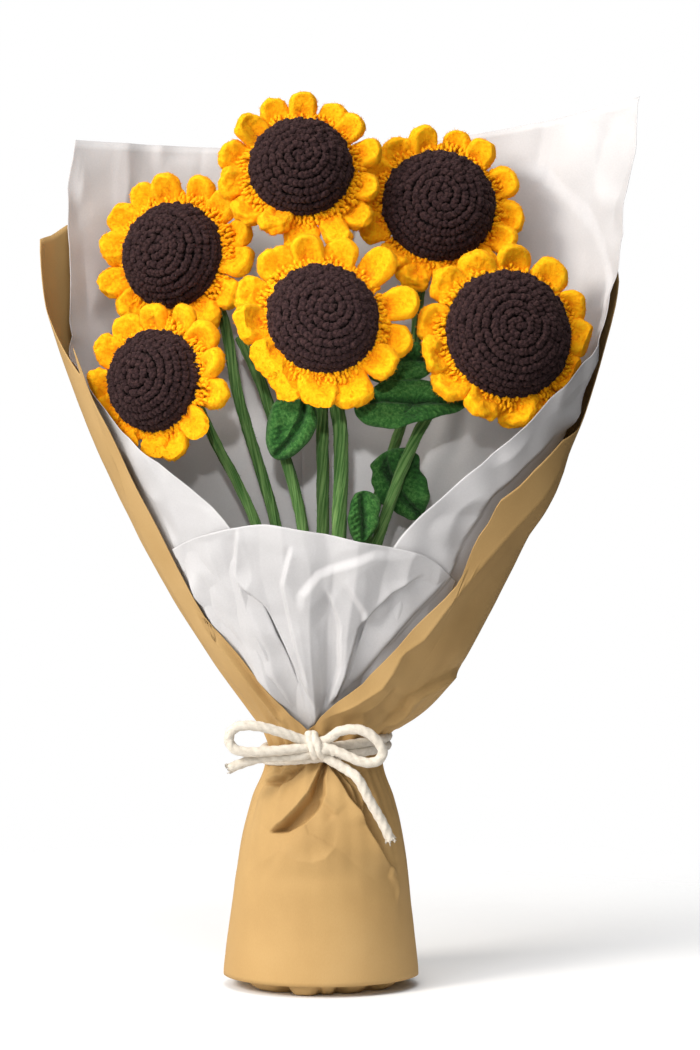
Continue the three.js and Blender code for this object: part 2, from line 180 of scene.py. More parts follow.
def along(pairs, t):  # a smooth value at t through (t, value) pairs in rising order
    xs, ys = np.array(pairs, float).T
    t = np.asarray(t, float)
    i = np.searchsorted(xs[1:-1], t, side="left")
    before, after = np.maximum(i - 1, 0), np.minimum(i + 2, len(xs) - 1)
    span = xs[i + 1] - xs[i]
    u = np.clip((t - xs[i]) / span, 0, 1)
    slopeA = (ys[i + 1] - ys[before]) / (xs[i + 1] - xs[before]) * span
    slopeB = (ys[after] - ys[i]) / (xs[after] - xs[i]) * span
    u2, u3 = u * u, u * u * u
    ends = (2 * u3 - 3 * u2 + 1) * ys[i] + (3 * u2 - 2 * u3) * ys[i + 1]
    return ends + (u3 - 2 * u2 + u) * slopeA + (u3 - u2) * slopeB


def halfAt(side, z):
    waist = roll["waist"][side]
    low = waist + (roll["foot"][side] - waist) * along(roll["skirtFlare"], z / roll["waistHeight"])
    share = (z - roll["waistHeight"]) / (roll["mouthHeight"] - roll["waistHeight"])
    high = waist + (roll["mouth"][side] - waist) * along(roll["mouthFlare"][side], share)
    return np.where(z <= roll["waistHeight"], low, high)


def rollPoint(angle, z, offset=0.0):  # degrees: 0 right, 90 back, 180 left, 270 front
    angle, z = np.broadcast_arrays(np.asarray(angle, float), np.asarray(z, float))
    c, s = np.cos(np.radians(angle)), np.sin(np.radians(angle))
    x = (np.where(c > 0, halfAt("right", z), halfAt("left", z)) + offset) * c
    y = (np.where(s > 0, halfAt("back", z), halfAt("front", z)) + offset) * s
    return np.stack([x, y, z], -1)


def frontAngle(x, z):  # where the roll's front half passes x at height z
    half = float(halfAt("right" if x > 0 else "left", np.array(z, float)))
    return 360 - math.degrees(math.acos(max(-1.0, min(1.0, x / half))))


# small tools for meshes

def grain(points, size, seed=0):  # smooth random field from -1 to 1, with bumps of about this size
    q = np.asarray(points, float) / size + seed * 13.7
    cell = np.floor(q).astype(np.int64)
    f = q - cell
    f = f * f * (3 - 2 * f)
    total = np.zeros(q.shape[:-1])
    for dx in (0, 1):
        for dy in (0, 1):
            for dz in (0, 1):
                h = (cell[..., 0] + dx) * 374761393 + (cell[..., 1] + dy) * 668265263
                h = (h + (cell[..., 2] + dz) * 1440662683 + seed * 1013904223) & 0x7FFFFFFF
                h = ((h ^ (h >> 13)) * 1274126177) & 0x7FFFFFFF
                value = ((h ^ (h >> 16)) & 0xFFFF) / 32767.5 - 1
                weight = (f[..., 0] if dx else 1 - f[..., 0]) * (f[..., 1] if dy else 1 - f[..., 1])
                total += value * weight * (f[..., 2] if dz else 1 - f[..., 2])
    return total


def makeMesh(name, points, faces, marks=None):  # points in millimetres
    mesh = bpy.data.meshes.new(name)
    mesh.from_pydata((np.asarray(points) * mm).tolist(), [], faces)
    for label, values in (marks or {}).items():
        mark = mesh.attributes.new(label, "FLOAT", "POINT")
        mark.data.foreach_set("value", np.asarray(values, float).ravel())
    mesh.shade_smooth()
    obj = bpy.data.objects.new(name, mesh)
    scene.collection.objects.link(obj)
    return obj


def gridNormals(grid, ring=False):
    if ring:
        wrapped = np.concatenate([grid[-1:], grid, grid[:1]])
        a = np.gradient(wrapped, axis=0)[1:-1]
    else:
        a = np.gradient(grid, axis=0)
    n = np.cross(a, np.gradient(grid, axis=1))
    return n / np.maximum(np.linalg.norm(n, axis=-1, keepdims=True), 1e-9)


def ringPairs(around, start=0):  # neighbours round a ring of points
    return [(start + k, start + (k + 1) % around) for k in range(around)]


def bandFaces(rings, around, start=0):  # joins each ring of points to the next
    return [(p, q, q + around, p + around)
            for i in range(rings - 1) for p, q in ringPairs(around, start + i * around)]


def sheetFaces(columns, rows, ring):  # a closed skin round two layers of points
    def at(layer, i, j):
        return layer * columns * rows + (i % columns) * rows + j

    faces = []
    for i in range(columns if ring else columns - 1):
        for j in range(rows - 1):
            faces.append((at(0, i, j), at(0, i + 1, j), at(0, i + 1, j + 1), at(0, i, j + 1)))
            faces.append((at(1, i, j), at(1, i, j + 1), at(1, i + 1, j + 1), at(1, i + 1, j)))
        faces.append((at(0, i, 0), at(1, i, 0), at(1, i + 1, 0), at(0, i + 1, 0)))
        faces.append((at(0, i, rows - 1), at(0, i + 1, rows - 1), at(1, i + 1, rows - 1), at(1, i, rows - 1)))
    if not ring:
        last = columns - 1
        for j in range(rows - 1):
            faces.append((at(0, 0, j), at(0, 0, j + 1), at(1, 0, j + 1), at(1, 0, j)))
            faces.append((at(0, last, j), at(1, last, j), at(1, last, j + 1), at(0, last, j + 1)))
    return faces


def sheetPiece(name, grid, thickness, ring=False):
    inner = grid - gridNormals(grid, ring) * thickness
    points = np.concatenate([grid.reshape(-1, 3), inner.reshape(-1, 3)])
    return makeMesh(name, points, sheetFaces(grid.shape[0], grid.shape[1], ring))


def finishPiece(piece, material, replaced):
    if material:
        piece.data.materials.clear()
        piece.data.materials.append(material)
    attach(piece, "root")
    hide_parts(*replaced)


def joinPieces(name, parts):
    with bpy.context.temp_override(active_object=parts[0], selected_editable_objects=parts):
        bpy.ops.object.join()
    parts[0].name = name
    return parts[0]


# materials

def newMaterial(name):
    material = bpy.data.materials.new(name)
    material.use_nodes = True
    material.node_tree.nodes.clear()
    return material, material.node_tree


def objectScale(tree, sizes):  # object coordinates stretched so that one unit is the given size in metres
    place = addNode(tree, "ShaderNodeTexCoord")
    scale = tuple(1 / size for size in sizes)
    return addNode(tree, "ShaderNodeMapping", {"Scale": scale}, {"Vector": place.outputs["Object"]})


def yarnScale(tree, look, size):  # lumps in object space, or streaks drawn out along a strand
    if look["streak"] == 1:
        return objectScale(tree, (size, size, size))
    spots = [addNode(tree, "ShaderNodeAttribute", {"attribute_name": name})
             for name in ("across", "beside", "run")]
    joined = addNode(tree, "ShaderNodeCombineXYZ", {},
                     {k: spot.outputs["Fac"] for k, spot in enumerate(spots)})
    return addNode(tree, "ShaderNodeMapping", {"Scale": (1 / size, 1 / size, look["streak"] / size)},
                   {"Vector": joined.outputs[0]})


# the yarns' dark tones are mostly painted shade: the tone reaches them where a piece's hollow mark pulls it
# down
yarnLooks = {  # sizes in metres: pile lumps and spun grain, drawn as coarse as they need to show
    "yellow": dict(name="yellow chenille yarn, crocheted", dark="#E87600", mid="#FFA800", light="#FFC618",
                   lump=0.0016, grainSize=0.0005, depth=0.0007, sheen=0.08, sheenTint="#FFD34D", streak=1.0),
    "brown": dict(name="brown chenille yarn, crocheted", dark="#12090B", mid="#27171A", light="#493230",
                  lump=0.0014, grainSize=0.00045, depth=0.0006, sheen=0.14, sheenTint="#A68A80", streak=1.0),
    "green": dict(name="green acrylic yarn, crocheted", dark="#142E14", mid="#295824", light="#558743",
                  lump=0.0016, grainSize=0.0005, depth=0.0006, sheen=0.25, sheenTint="#A5C79A", streak=1.0),
    "stem": dict(name="green yarn wrapped round wire", dark="#1B3118", mid="#3A602C", light="#7B9C5C",
                 lump=0.0012, grainSize=0.0005, depth=0.0007, sheen=0.2, sheenTint="#A5C79A", streak=0.045),
    "cream": dict(name="soft cotton rope, undyed", dark="#B5A996", mid="#D6CDBE", light="#E6DED0",
                  lump=0.0022, grainSize=0.0004, depth=0.0003, sheen=0.3, sheenTint="#FFFFFF", streak=1.0),
}


def threeTones(tree, look, tone, stops):  # one dye's tones from dark to light; on yarn the dark hollows and light rims are painted shade and painted highlight from the hollow mark
    ramp = addNode(tree, "ShaderNodeValToRGB", {}, {"Fac": tone})
    bands = ramp.color_ramp.elements
    bands[0].position, bands[0].color = stops[0], linear(look["dark"])
    bands[1].position, bands[1].color = stops[2], linear(look["light"])
    bands.new(stops[1]).color = linear(look["mid"])
    return ramp.outputs["Color"]


def endMaterial(tree, settings, colour, bump):
    shader = addNode(tree, "ShaderNodeBsdfPrincipled", settings,
                     {"Base Color": colour, "Normal": bump.outputs[0]})
    addNode(tree, "ShaderNodeOutputMaterial", {}, {"Surface": shader.outputs[0]})


def yarnMaterial(look):  # soft spun fibre: no gloss, a pale bloom at grazing angles, an uneven dye, and painted shade and highlight from the hollow mark
    material, tree = newMaterial(look["name"])
    lumps = yarnScale(tree, look, look["lump"])
    fine = yarnScale(tree, look, look["grainSize"])
    shade = addNode(tree, "ShaderNodeTexNoise", {"Scale": 1.0, "Detail": 3.0, "Roughness": 0.6},
                    {"Vector": lumps.outputs[0]})
    fibre = addNode(tree, "ShaderNodeTexNoise", {"Scale": 1.0, "Detail": 2.0, "Roughness": 0.7},
                    {"Vector": fine.outputs[0]})
    both = addNode(tree, "ShaderNodeMath", {"operation": "MULTIPLY_ADD", 1: 0.45},
                   {0: fibre.outputs["Fac"], 2: shade.outputs["Fac"]})
    # the hollow mark is painted shade: subtracting it darkens the tone towards the dark colour, and where it
    # is below zero it lightens the tone as a painted highlight
    hollow = addNode(tree, "ShaderNodeAttribute", {"attribute_name": "hollow"})
    sunk = addNode(tree, "ShaderNodeMath", {"operation": "SUBTRACT"},
                   {0: both.outputs[0], 1: hollow.outputs["Fac"]})
    height = addNode(tree, "ShaderNodeMath", {"operation": "ADD"},
                     {0: shade.outputs["Fac"], 1: fibre.outputs["Fac"]})
    bump = addNode(tree, "ShaderNodeBump", {"Strength": 0.7, "Distance": look["depth"]},
                   {"Height": height.outputs[0]})
    endMaterial(tree, {"Roughness": 0.92, "Specular IOR Level": 0.2, "Sheen Weight": look["sheen"],
                       "Sheen Roughness": 0.45, "Sheen Tint": linear(look["sheenTint"])},
                threeTones(tree, look, sunk.outputs[0], (0.25, 0.62, 1.0)), bump)
    return material


paperLooks = {  # fibre and blotch sizes in metres, the fibre drawn coarser than real so that it shows
    "kraft": dict(name="brown kraft paper, uncoated", dark="#A98653", mid="#B4915C", light="#BD9B67",
                  fibre=(0.0004, 0.0004, 0.0012), blotch=0.06, bump=0.00012, roughness=0.74, alpha=1.0),
    "tissue": dict(name="frosted tissue, calendered", dark="#BFBDBD", mid="#CAC8C8", light="#D8D6D6",
                   fibre=(0.0009, 0.0009, 0.0009), blotch=0.05, bump=0.00015, roughness=0.5, alpha=0.9),
}


def paperMaterial(look):  # dull pressed fibre: a faint fleck, slow changes of tone and a little tooth
    material, tree = newMaterial(look["name"])
    fleckAt = objectScale(tree, look["fibre"])
    slowAt = objectScale(tree, (look["blotch"],) * 3)
    fleck = addNode(tree, "ShaderNodeTexNoise", {"Scale": 1.0, "Detail": 4.0, "Roughness": 0.65},
                    {"Vector": fleckAt.outputs[0]})
    slow = addNode(tree, "ShaderNodeTexNoise", {"Scale": 1.0, "Detail": 3.0, "Roughness": 0.5},
                   {"Vector": slowAt.outputs[0]})
    tone = addNode(tree, "ShaderNodeMath", {"operation": "MULTIPLY_ADD", 1: 0.35},
                   {0: fleck.outputs["Fac"], 2: slow.outputs["Fac"]})
    bump = addNode(tree, "ShaderNodeBump", {"Strength": 0.5, "Distance": look["bump"]},
                   {"Height": fleck.outputs["Fac"]})
    endMaterial(tree, {"Roughness": look["roughness"], "Specular IOR Level": 0.3, "Alpha": look["alpha"]},
                threeTones(tree, look, tone.outputs[0], (0.4, 0.67, 0.95)), bump)
    return material


yarns = {key: yarnMaterial(look) for key, look in yarnLooks.items()}
papers = {key: paperMaterial(look) for key, look in paperLooks.items()}
print("materials ready")

# geometry node trees

def newTree(name, sockets):
    tree = bpy.data.node_groups.new(name, "GeometryNodeTree")
    tree.interface.new_socket("Geometry", in_out="INPUT", socket_type="NodeSocketGeometry")
    for label, kind, value in sockets:
        socket = tree.interface.new_socket(label, in_out="INPUT", socket_type=kind)
        if value is not None:
            socket.default_value = value
    tree.interface.new_socket("Geometry", in_out="OUTPUT", socket_type="NodeSocketGeometry")
    return tree, addNode(tree, "NodeGroupInput").outputs


def endTree(tree, geometry, material):
    smooth = addNode(tree, "GeometryNodeSetShadeSmooth", {}, {"Geometry": geometry})
    real = addNode(tree, "GeometryNodeRealizeInstances", {}, {"Geometry": smooth.outputs[0]})
    dressed = addNode(tree, "GeometryNodeSetMaterial", {},
                      {"Geometry": real.outputs[0], "Material": material})
    addNode(tree, "NodeGroupOutput", {}, {0: dressed.outputs[0]})


def growWith(obj, tree, values):  # runs a tree on obj and keeps its result as a plain mesh
    modifier = obj.modifiers.new(tree.name, "NODES")
    modifier.node_group = tree
    for item in tree.interface.items_tree:
        if item.in_out == "INPUT" and item.name in values:
            modifier[item.identifier] = values[item.name]
    obj.update_tag()
    ready = obj.evaluated_get(bpy.context.evaluated_depsgraph_get())
    mesh = bpy.data.meshes.new_from_object(ready)
    obj.modifiers.clear()
    old = obj.data
    obj.data = mesh
    bpy.data.meshes.remove(old)
    return obj


def rowsTree():  # a row of crochet stitches along each line of the input, standing on the lines' "up"
    tree, given = newTree("crochetRows", [
        ("Spacing", "NodeSocketFloat", 0.003), ("Length", "NodeSocketFloat", 0.004),
        ("Width", "NodeSocketFloat", 0.002), ("Height", "NodeSocketFloat", 0.0015),
        ("Lean", "NodeSocketFloat", 0.45), ("Split", "NodeSocketFloat", 0.42),
        ("Wander", "NodeSocketFloat", 0.0003), ("Seed", "NodeSocketInt", 1),
        ("Material", "NodeSocketMaterial", None)])
    curve = addNode(tree, "GeometryNodeMeshToCurve", {}, {0: given["Geometry"]})
    spaced = addNode(tree, "GeometryNodeResampleCurve", {"mode": "LENGTH"},
                     {"Curve": curve.outputs[0], "Length": given["Spacing"]})
    slide = addNode(tree, "FunctionNodeRandomValue",
                    {"data_type": "FLOAT_VECTOR", 0: (-1, -1, -1), 1: (1, 1, 1)}, {"Seed": given["Seed"]})
    shift = addNode(tree, "ShaderNodeVectorMath", {"operation": "SCALE"},
                    {0: slide.outputs[0], "Scale": given["Wander"]})
    moved = addNode(tree, "GeometryNodeSetPosition", {},
                    {"Geometry": spaced.outputs[0], "Offset": shift.outputs[0]})
    halves = []
    for side in (-1, 1):
        grainShape = addNode(tree, "GeometryNodeMeshUVSphere", {"Radius": 0.5, "Segments": 6, "Rings": 5})
        size = addNode(tree, "ShaderNodeCombineXYZ", {},
                       {0: given["Length"], 1: given["Width"], 2: given["Height"]})
        lean = addNode(tree, "ShaderNodeMath", {"operation": "MULTIPLY", 1: float(side)}, {0: given["Lean"]})
        turn = addNode(tree, "ShaderNodeCombineXYZ", {}, {2: lean.outputs[0]})
        share = addNode(tree, "ShaderNodeMath", {"operation": "MULTIPLY", 1: float(side)},
                        {0: given["Split"]})
        aside = addNode(tree, "ShaderNodeMath", {"operation": "MULTIPLY"},
                        {0: given["Width"], 1: share.outputs[0]})
        move = addNode(tree, "ShaderNodeCombineXYZ", {}, {1: aside.outputs[0]})
        half = addNode(tree, "GeometryNodeTransform", {},
                       {"Geometry": grainShape.outputs[0], "Scale": size.outputs[0],
                        "Rotation": turn.outputs[0], "Translation": move.outputs[0]})
        halves.append(half.outputs[0])
    stitch = addNode(tree, "GeometryNodeJoinGeometry")
    for half in halves:
        tree.links.new(half, stitch.inputs[0])
    up = addNode(tree, "GeometryNodeInputNamedAttribute", {"data_type": "FLOAT_VECTOR", "Name": "up"})
    tangent = addNode(tree, "GeometryNodeInputTangent")
    stand = addNode(tree, "FunctionNodeAxesToRotation", {"primary_axis": "Z", "secondary_axis": "X"},
                    {0: up.outputs["Attribute"], 1: tangent.outputs[0]})
    vary = addNode(tree, "FunctionNodeRandomValue",
                   {"data_type": "FLOAT_VECTOR", 0: (0.88, 0.85, 0.8), 1: (1.12, 1.12, 1.2)},
                   {"Seed": given["Seed"]})
    rows = addNode(tree, "GeometryNodeInstanceOnPoints", {},
                   {"Points": moved.outputs[0], "Instance": stitch.outputs[0], "Rotation": stand.outputs[0],
                    "Scale": vary.outputs[0]})
    endTree(tree, rows.outputs[0], given["Material"])
    return tree


def fuzzTree():  # short fibres that stand up all over the input surface
    tree, given = newTree("fibreFuzz", [
        ("Density", "NodeSocketFloat", 800000.0), ("Length", "NodeSocketFloat", 0.0015),
        ("Thickness", "NodeSocketFloat", 0.00012), ("Tilt", "NodeSocketFloat", 0.8),
        ("Seed", "NodeSocketInt", 1), ("Material", "NodeSocketMaterial", None)])
    points = addNode(tree, "GeometryNodeDistributePointsOnFaces", {},
                     {"Mesh": given["Geometry"], "Density": given["Density"], "Seed": given["Seed"]})
    fibre = addNode(tree, "GeometryNodeMeshCone", {"Vertices": 3, "Radius Top": 0.0},
                    {"Radius Bottom": given["Thickness"], "Depth": given["Length"]})
    less = addNode(tree, "ShaderNodeMath", {"operation": "MULTIPLY", 1: -1.0}, {0: given["Tilt"]})
    lowest = addNode(tree, "ShaderNodeCombineXYZ", {2: -3.0}, {0: less.outputs[0], 1: less.outputs[0]})
    highest = addNode(tree, "ShaderNodeCombineXYZ", {2: 3.0}, {0: given["Tilt"], 1: given["Tilt"]})
    lean = addNode(tree, "FunctionNodeRandomValue", {"data_type": "FLOAT_VECTOR"},
                   {0: lowest.outputs[0], 1: highest.outputs[0], "Seed": given["Seed"]})
    bent = addNode(tree, "FunctionNodeRotateRotation", {"rotation_space": "LOCAL"},
                   {0: points.outputs["Rotation"], 1: lean.outputs[0]})
    vary = addNode(tree, "FunctionNodeRandomValue", {"data_type": "FLOAT", 2: 0.5, 3: 1.3},
                   {"Seed": given["Seed"]})
    coat = addNode(tree, "GeometryNodeInstanceOnPoints", {},
                   {"Points": points.outputs["Points"], "Instance": fibre.outputs[0],
                    "Rotation": bent.outputs[0], "Scale": vary.outputs[1]})
    endTree(tree, coat.outputs[0], given["Material"])
    return tree


def keepAttribute(tree, geometry, name, value):
    return addNode(tree, "GeometryNodeStoreNamedAttribute",
                   {"data_type": "FLOAT", "domain": "POINT", "Name": name},
                   {"Geometry": geometry, "Value": value}).outputs[0]


def strandTree():  # sweeps a ribbed, slowly twisted yarn section along each line of the input
    tree, given = newTree("twistedYarn", [
        ("Radius", "NodeSocketFloat", 0.0025), ("Step", "NodeSocketFloat", 0.001),
        ("Ribs", "NodeSocketFloat", 6.0), ("Rib Height", "NodeSocketFloat", 0.00015),
        ("Twist Pitch", "NodeSocketFloat", 0.03), ("Lumps", "NodeSocketFloat", 0.0002),
        ("Lump Size", "NodeSocketFloat", 0.003), ("Material", "NodeSocketMaterial", None)])
    curve = addNode(tree, "GeometryNodeMeshToCurve", {}, {0: given["Geometry"]})
    fine = addNode(tree, "GeometryNodeResampleCurve", {"mode": "LENGTH"},
                   {"Curve": curve.outputs[0], "Length": given["Step"]})
    run = addNode(tree, "GeometryNodeSplineParameter")
    turns = addNode(tree, "ShaderNodeMath", {"operation": "DIVIDE"},
                    {0: run.outputs["Length"], 1: given["Twist Pitch"]})
    tilt = addNode(tree, "ShaderNodeMath", {"operation": "MULTIPLY", 1: 2 * math.pi}, {0: turns.outputs[0]})
    marked = keepAttribute(tree, fine.outputs[0], "run", run.outputs["Length"])
    twisted = addNode(tree, "GeometryNodeSetCurveTilt", {}, {"Curve": marked, "Tilt": tilt.outputs[0]})
    ring = addNode(tree, "GeometryNodeCurvePrimitiveCircle", {"Resolution": 30}, {"Radius": given["Radius"]})
    place = addNode(tree, "GeometryNodeInputPosition")
    parts = addNode(tree, "ShaderNodeSeparateXYZ", {}, {0: place.outputs[0]})
    around = addNode(tree, "ShaderNodeMath", {"operation": "ARCTAN2"},
                     {0: parts.outputs[1], 1: parts.outputs[0]})
    wave = addNode(tree, "ShaderNodeMath", {"operation": "MULTIPLY"},
                   {0: around.outputs[0], 1: given["Ribs"]})
    cosine = addNode(tree, "ShaderNodeMath", {"operation": "COSINE"}, {0: wave.outputs[0]})
    share = addNode(tree, "ShaderNodeMath", {"operation": "DIVIDE"},
                    {0: given["Rib Height"], 1: given["Radius"]})
    swell = addNode(tree, "ShaderNodeMath", {"operation": "MULTIPLY"},
                    {0: cosine.outputs[0], 1: share.outputs[0]})
    out = addNode(tree, "ShaderNodeVectorMath", {"operation": "SCALE"},
                  {0: place.outputs[0], "Scale": swell.outputs[0]})
    rounded = keepAttribute(tree, ring.outputs[0], "across", parts.outputs[0])
    rounded = keepAttribute(tree, rounded, "beside", parts.outputs[1])
    section = addNode(tree, "GeometryNodeSetPosition", {}, {"Geometry": rounded, "Offset": out.outputs[0]})
    tube = addNode(tree, "GeometryNodeCurveToMesh", {"Fill Caps": True},
                   {"Curve": twisted.outputs[0], "Profile Curve": section.outputs[0]})
    inverse = addNode(tree, "ShaderNodeMath", {"operation": "DIVIDE", 0: 1.0}, {1: given["Lump Size"]})
    noise = addNode(tree, "ShaderNodeTexNoise", {"Detail": 2.0}, {"Scale": inverse.outputs[0]})
    centred = addNode(tree, "ShaderNodeMath", {"operation": "SUBTRACT", 1: 0.5}, {0: noise.outputs["Fac"]})
    amount = addNode(tree, "ShaderNodeMath", {"operation": "MULTIPLY"},
                     {0: centred.outputs[0], 1: given["Lumps"]})
    normal = addNode(tree, "GeometryNodeInputNormal")
    push = addNode(tree, "ShaderNodeVectorMath", {"operation": "SCALE"},
                   {0: normal.outputs[0], "Scale": amount.outputs[0]})
    lumpy = addNode(tree, "GeometryNodeSetPosition", {},
                    {"Geometry": tube.outputs[0], "Offset": push.outputs[0]})
    endTree(tree, lumpy.outputs[0], given["Material"])
    return tree


crochetRows, fibreFuzz, twistedYarn = rowsTree(), fuzzTree(), strandTree()


def smoothPath(points, step):  # points on a rounded curve through the given ones, in millimetres
    p = np.asarray(points, float)
    knots = np.concatenate([[0], np.cumsum(np.sqrt(np.linalg.norm(np.diff(p, axis=0), axis=1)))])
    dense = np.linspace(0, knots[-1], 60 * len(p))
    fine = np.stack([along(list(zip(knots, p[:, k])), dense) for k in range(3)], -1)
    run = np.concatenate([[0], np.cumsum(np.linalg.norm(np.diff(fine, axis=0), axis=1))])
    spots = np.linspace(0, run[-1], max(2, int(round(run[-1] / step)) + 1))
    return np.stack([np.interp(spots, run, fine[:, k]) for k in range(3)], -1)


def lineMesh(name, points, ups=None):
    mesh = bpy.data.meshes.new(name)
    edges = [(i, i + 1) for i in range(len(points) - 1)]
    mesh.from_pydata((np.asarray(points) * mm).tolist(), edges, [])
    if ups is not None:
        stand = mesh.attributes.new("up", "FLOAT_VECTOR", "POINT")
        stand.data.foreach_set("vector", np.asarray(ups, float).ravel())
    obj = bpy.data.objects.new(name, mesh)
    scene.collection.objects.link(obj)
    return obj


def addFuzz(name, base, coat, seed, yarn):  # grows a coat of fibres on a twin of the piece and joins the two
    twin = bpy.data.objects.new("fuzz", base.data.copy())
    scene.collection.objects.link(twin)
    fuzz = growWith(twin, fibreFuzz, coat | {"Seed": seed, "Material": yarns[yarn]})
    return joinPieces(name, [base, fuzz])


# the tie: a soft cotton rope in a band, a knot, two loops and two tails

tie = {
    "diameter": 5.0, "angle": 266.0, "offset": 6.25,
    "yarn": {"Step": 0.0008, "Ribs": 3.0, "Rib Height": 0.00012, "Twist Pitch": 0.016, "Lumps": 0.00014,
             "Lump Size": 0.004},
    "fuzz": {"Density": 700000.0, "Length": 0.0006, "Thickness": 0.00005, "Tilt": 1.2},
    "wispCount": 26, "wispSpread": 2.1, "wispLength": (1.6, 3.3),
    "wispSeed": {"tie_tail_left": 5, "tie_tail_right": 9},
    "wispYarn": {"Radius": 0.00032, "Step": 0.0008, "Ribs": 2.0, "Rib Height": 0.00003, "Twist Pitch": 0.003,
                 "Lumps": 0.0001, "Lump Size": 0.001},
    "bandTurns": [(-3.4, -1.4), (1.2, -1.0)], "bandSweep": 362, "bandTilt": 3.4, "bandPress": 0.94,
    "knotTurns": [(-1.9, 1.5, 0.3), (1.0, 2.2, 0.9)],
    "knotNub": [(-0.5, -1.0, 0.0), (2.0, -4.0, -1.6), (4.4, -4.6, -1.7), (7.0, -3.6, -2), (9.0, -2.8, -3.4)],
    "knotCore": [(-2.5, 0, 3), (0, 0.5, 0), (2.5, 0, -3)],
    "routes": {
        "bow_loop_left": [(-0.3, 0.3, 0.3), (-1.35, 0.6, 0.5), (-3.1, 1.3, 1), (-5.4, 2, 1.4),
                          (-7.1, 2.15, 1.5), (-8.2, 1.75, 1.5), (-8.6, 0.8, 1.4), (-8.1, -0.15, 1.4),
                          (-6.7, -0.5, 1.4), (-4.1, -0.4, 1.2), (-1.5, -0.2, 0.7), (-0.4, -0.1, 0.3)],
        "bow_loop_right": [(0.3, 0.3, 0.3), (1.3, 0.75, 0.6), (2.3, 1.5, 1), (4, 1.75, 1.3), (5.3, 1.3, 1.4),
                           (6.3, 0.3, 1.4), (6.6, -0.7, 1.3), (5.9, -1.5, 1.2), (4.5, -1.5, 1.1),
                           (2.8, -0.8, 0.9), (1.5, -0.25, 0.75), (0.4, 0.0, 0.6)],
        "tie_tail_left": [(-0.3, -0.6, 0.2), (-1.35, -0.95, 0.35), (-3.2, -1.1, 0.35), (-5.4, -1.2, 0.4),
                          (-7.1, -1.65, 0.45), (-8.6, -2.25, 0.4)],
        "tie_tail_right": [(0.2, -0.5, 0.3), (1.0, -1.15, 0.4), (2.8, -2.2, 0.7), (4.1, -3.1, 1.35),
                           (5.3, -5.3, 1.3), (6.6, -7.6, 1.1), (7.4, -9.3, 0.9)],
    },
}
knotMiddle = rollPoint(tie["angle"], roll["waistHeight"] + 3, tie["offset"] + 1.5)


def ropeAlong(name, path, scale=1.0):
    return growWith(lineMesh(name, path), twistedYarn,
                    tie["yarn"] | {"Radius": tie["diameter"] / 2 * scale * mm, "Material": yarns["cream"]})


def frayedEnd(tip, direction, seed):  # loose ends of the rope's own strands, fanned at the cut
    rng = np.random.default_rng(seed)
    direction = direction / np.linalg.norm(direction)
    side = np.cross(direction, (0, 1, 0))
    side /= np.linalg.norm(side)
    other = np.cross(direction, side)
    wisps = []
    for _ in range(tie["wispCount"]):
        a, r = rng.uniform(0, 2 * math.pi), tie["wispSpread"] * math.sqrt(rng.uniform(0, 1))
        out = math.cos(a) * side + math.sin(a) * other
        root = tip - direction * 1.5 + r * out
        splay = 0.35 * r / tie["wispSpread"] * out + rng.normal(0, 0.12, 3)
        end = root + (direction + splay) * rng.uniform(*tie["wispLength"])
        bent = smoothPath([root, (root + end) / 2 + rng.normal(0, 0.15, 3), end], 0.8)
        wisps.append(growWith(lineMesh("wisp", bent), twistedYarn,
                              tie["wispYarn"] | {"Material": yarns["cream"]}))
    return wisps


def makeTie():
    for name, route in tie["routes"].items():
        points = np.array([(across, -forward, up) for across, up, forward in route])
        path = smoothPath(knotMiddle + tie["diameter"] * points, 0.8)
        parts = [ropeAlong(name, path)]
        tail = name.startswith("tie_tail")
        if tail:
            parts += frayedEnd(path[-1], path[-1] - path[-6], tie["wispSeed"][name])
        rope = addFuzz(name + "_rope", joinPieces("rope", parts), tie["fuzz"], 3, "cream")
        finishPiece(rope, None, [name])
    rings = []
    for lift, out in tie["bandTurns"]:
        angles = tie["angle"] + tie["bandSweep"] * np.linspace(0, 1, 60)
        turn = rollPoint(angles, roll["waistHeight"], tie["offset"] + out)
        turn[:, 2] += lift + tie["bandTilt"] * np.cos(np.radians(angles))
        turn[:, 0] *= np.where(turn[:, 0] < 0, tie["bandPress"], 1)
        rings.append(ropeAlong("band", smoothPath(turn, 1.0)))
    band = joinPieces("tie_band_rope", rings)
    finishPiece(band, None, ["tie_band"])
    makeKnot()


def makeKnot():  # one strand wrapped twice down over the crossing, then out at the right
    wraps = []
    for x, lean, out in tie["knotTurns"]:
        a = np.linspace(-0.7 * math.pi, 0.7 * math.pi, 18)
        ring = np.stack([x - lean * np.sin(a), -(4.1 + out) * np.cos(a) - 0.4, 5.4 * np.sin(a)], -1)
        wraps.append(ropeAlong("wrap", smoothPath(knotMiddle + ring, 0.8), 0.88))
    for route, scale in (("knotNub", 0.92), ("knotCore", 1.3)):
        wraps.append(ropeAlong("wrap", smoothPath(knotMiddle + np.array(tie[route]), 0.8), scale))
    knot = joinPieces("tie_knot_rope", wraps)
    finishPiece(knot, None, ["tie_knot"])


makeTie()
print("tie ready")

# paper: folds are drawn on the front as seen square on, in millimetres. A crease is a line with a
# (rise, fall-off) on its left and on its right. A hollow is the space between a lip and a lower line

def nearLine(flat, line):  # distance, side (over 0 on the left of the way) and share of the way
    best = np.full(flat.shape[:-1], 1e9)
    side, place = np.zeros_like(best), np.zeros_like(best)
    for k, (a, b) in enumerate(zip(line, line[1:])):
        a, b = np.array(a, float), np.array(b, float)
        d = b - a
        t = np.clip(((flat - a) @ d) / (d @ d), 0, 1)
        distance = np.linalg.norm(flat - (a + t[..., None] * d), axis=-1)
        nearer = distance < best - 1e-9
        best = np.where(nearer, distance, best)
        side = np.where(nearer, d[0] * (flat - a)[..., 1] - d[1] * (flat - a)[..., 0], side)
        place = np.where(nearer, (k + t) / (len(line) - 1), place)
    return best, side, place


